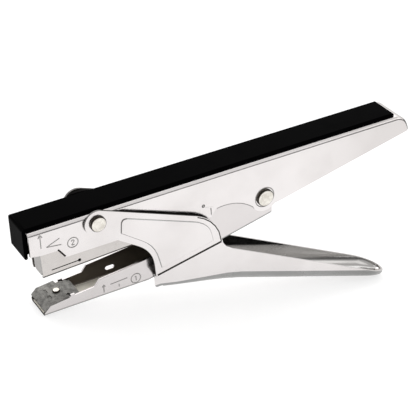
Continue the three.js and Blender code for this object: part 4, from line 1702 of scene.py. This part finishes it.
@dataclass
class Studio:
    """Floor, soft lights and camera."""

    lens: float = 118.9
    sensor: float = 36.0
    eye: Point = (-129.693, -368.995, 247.999)
    azimuth: float = math.radians(-28.895)
    elevation: float = math.radians(32.35)
    roll: float = math.radians(-1.738)
    paper: tuple[Colour, Colour] = ((0.50, 0.50, 0.50), (0.47, 0.47, 0.47))
    glow: float = 0.62
    floor_half: float = 3.0
    aim: Point = (0, 0, 0.03)
    room: tuple[float, float, float, float] = (1.0, 0.995, 0.99, 1.0)
    room_light: float = 0.85

    def camera(self) -> None:
        """The camera, drawn in the bar frame."""
        a, e, r = self.azimuth, self.elevation, self.roll
        back = Vector((math.sin(a) * math.cos(e), -math.cos(a) * math.cos(e), math.sin(e)))
        right = Vector((math.cos(a), math.sin(a), 0))
        up = back.cross(right)
        axes = (
            math.cos(r) * right + math.sin(r) * up,
            -math.sin(r) * right + math.cos(r) * up,
            back,
        )
        turned = Matrix([BAR.direction(*axis) for axis in axes]).transposed().to_4x4()
        data = bpy.data.cameras.new("camera")
        data.lens = self.lens
        data.sensor_width = self.sensor
        data.clip_start = 0.01
        camera = bpy.data.objects.new("camera", data)
        camera.matrix_world = Matrix.Translation(BAR.point(*self.eye)) @ turned
        bpy.context.scene.collection.objects.link(camera)
        bpy.context.scene.camera = camera

    def floor(self) -> None:
        """A plain pale floor."""
        graph = MaterialGraph("floor_paper")
        graph.set(
            Base_Color=graph.mix(graph.noise(0.01, 2), *self.paper),
            Roughness=0.9,
            Specular_IOR_Level=0.1,
            Emission_Color=(1.0, 1.0, 1.0, 1.0),
            Emission_Strength=self.glow,
        )
        half = self.floor_half
        corners = [(-half, -half, 0), (half, -half, 0), (half, half, 0), (-half, half, 0)]
        floor = mesh_object("floor", corners, [(0, 1, 2, 3)])
        floor.data.materials.append(graph.material)

    def world(self) -> None:
        """A white room, dark low down in front of the object, with a bright window high behind it."""
        world = bpy.data.worlds.new("room")
        world.use_nodes = True
        bpy.context.scene.world = world
        graph = Graph(world.node_tree)
        world.node_tree.nodes.clear()
        around = graph.node("ShaderNodeTexCoord").outputs["Generated"]
        split = graph.node("ShaderNodeSeparateXYZ", None, {0: around})
        side = Value(graph, split.outputs["Y"])
        height = Value(graph, split.outputs["Z"])
        opening = side.step(-0.2, -0.8) * height.step(0.5, 0.25)
        window = side.step(0.2, 0.7) * height.step(0.3, 0.55)
        bright = 1.0 - 0.86 * opening + window
        background = graph.node(
            "ShaderNodeBackground", None, {"Color": self.room, "Strength": bright * self.room_light}
        )
        output = graph.node("ShaderNodeOutputWorld")
        graph.tree.links.new(background.outputs[0], output.inputs[0])

    def light(self, name: str, place_at: Point, size: float, power: float) -> None:
        """A square soft light aimed at the object's middle.

        Args:
            name: its name.
            place_at: where it hangs, in metres.
            size: its width.
            power: its power, in watts.
        """
        data = bpy.data.lights.new(name, "AREA")
        data.shape = "SQUARE"
        data.size = size
        data.energy = power
        lamp = bpy.data.objects.new(name, data)
        turned = (Vector(self.aim) - Vector(place_at)).to_track_quat("-Z", "Y").to_matrix().to_4x4()
        lamp.matrix_world = Matrix.Translation(place_at) @ turned
        bpy.context.scene.collection.objects.link(lamp)

    def build(self) -> None:
        """Builds the studio."""
        self.camera()
        self.floor()
        self.world()
        self.light("key", (-0.5, 0.3, 0.9), 0.7, 2.0)
        self.light("fill", (0.7, -0.5, 0.8), 0.6, 1.0)
        bpy.context.scene.view_settings.view_transform = "Standard"


def main() -> None:
    """Builds every sub-assembly."""
    logging.basicConfig(level=logging.INFO, format="%(name)s: %(message)s")
    Studio().build()
    workshop = Workshop()
    Bar(workshop).build()
    Pivots(workshop).build()
    Driver(workshop).build()
    Handle(workshop).build()
    Jaw(workshop).build()
    Magazine(workshop).build()


if __name__ == "__main__":
    main()
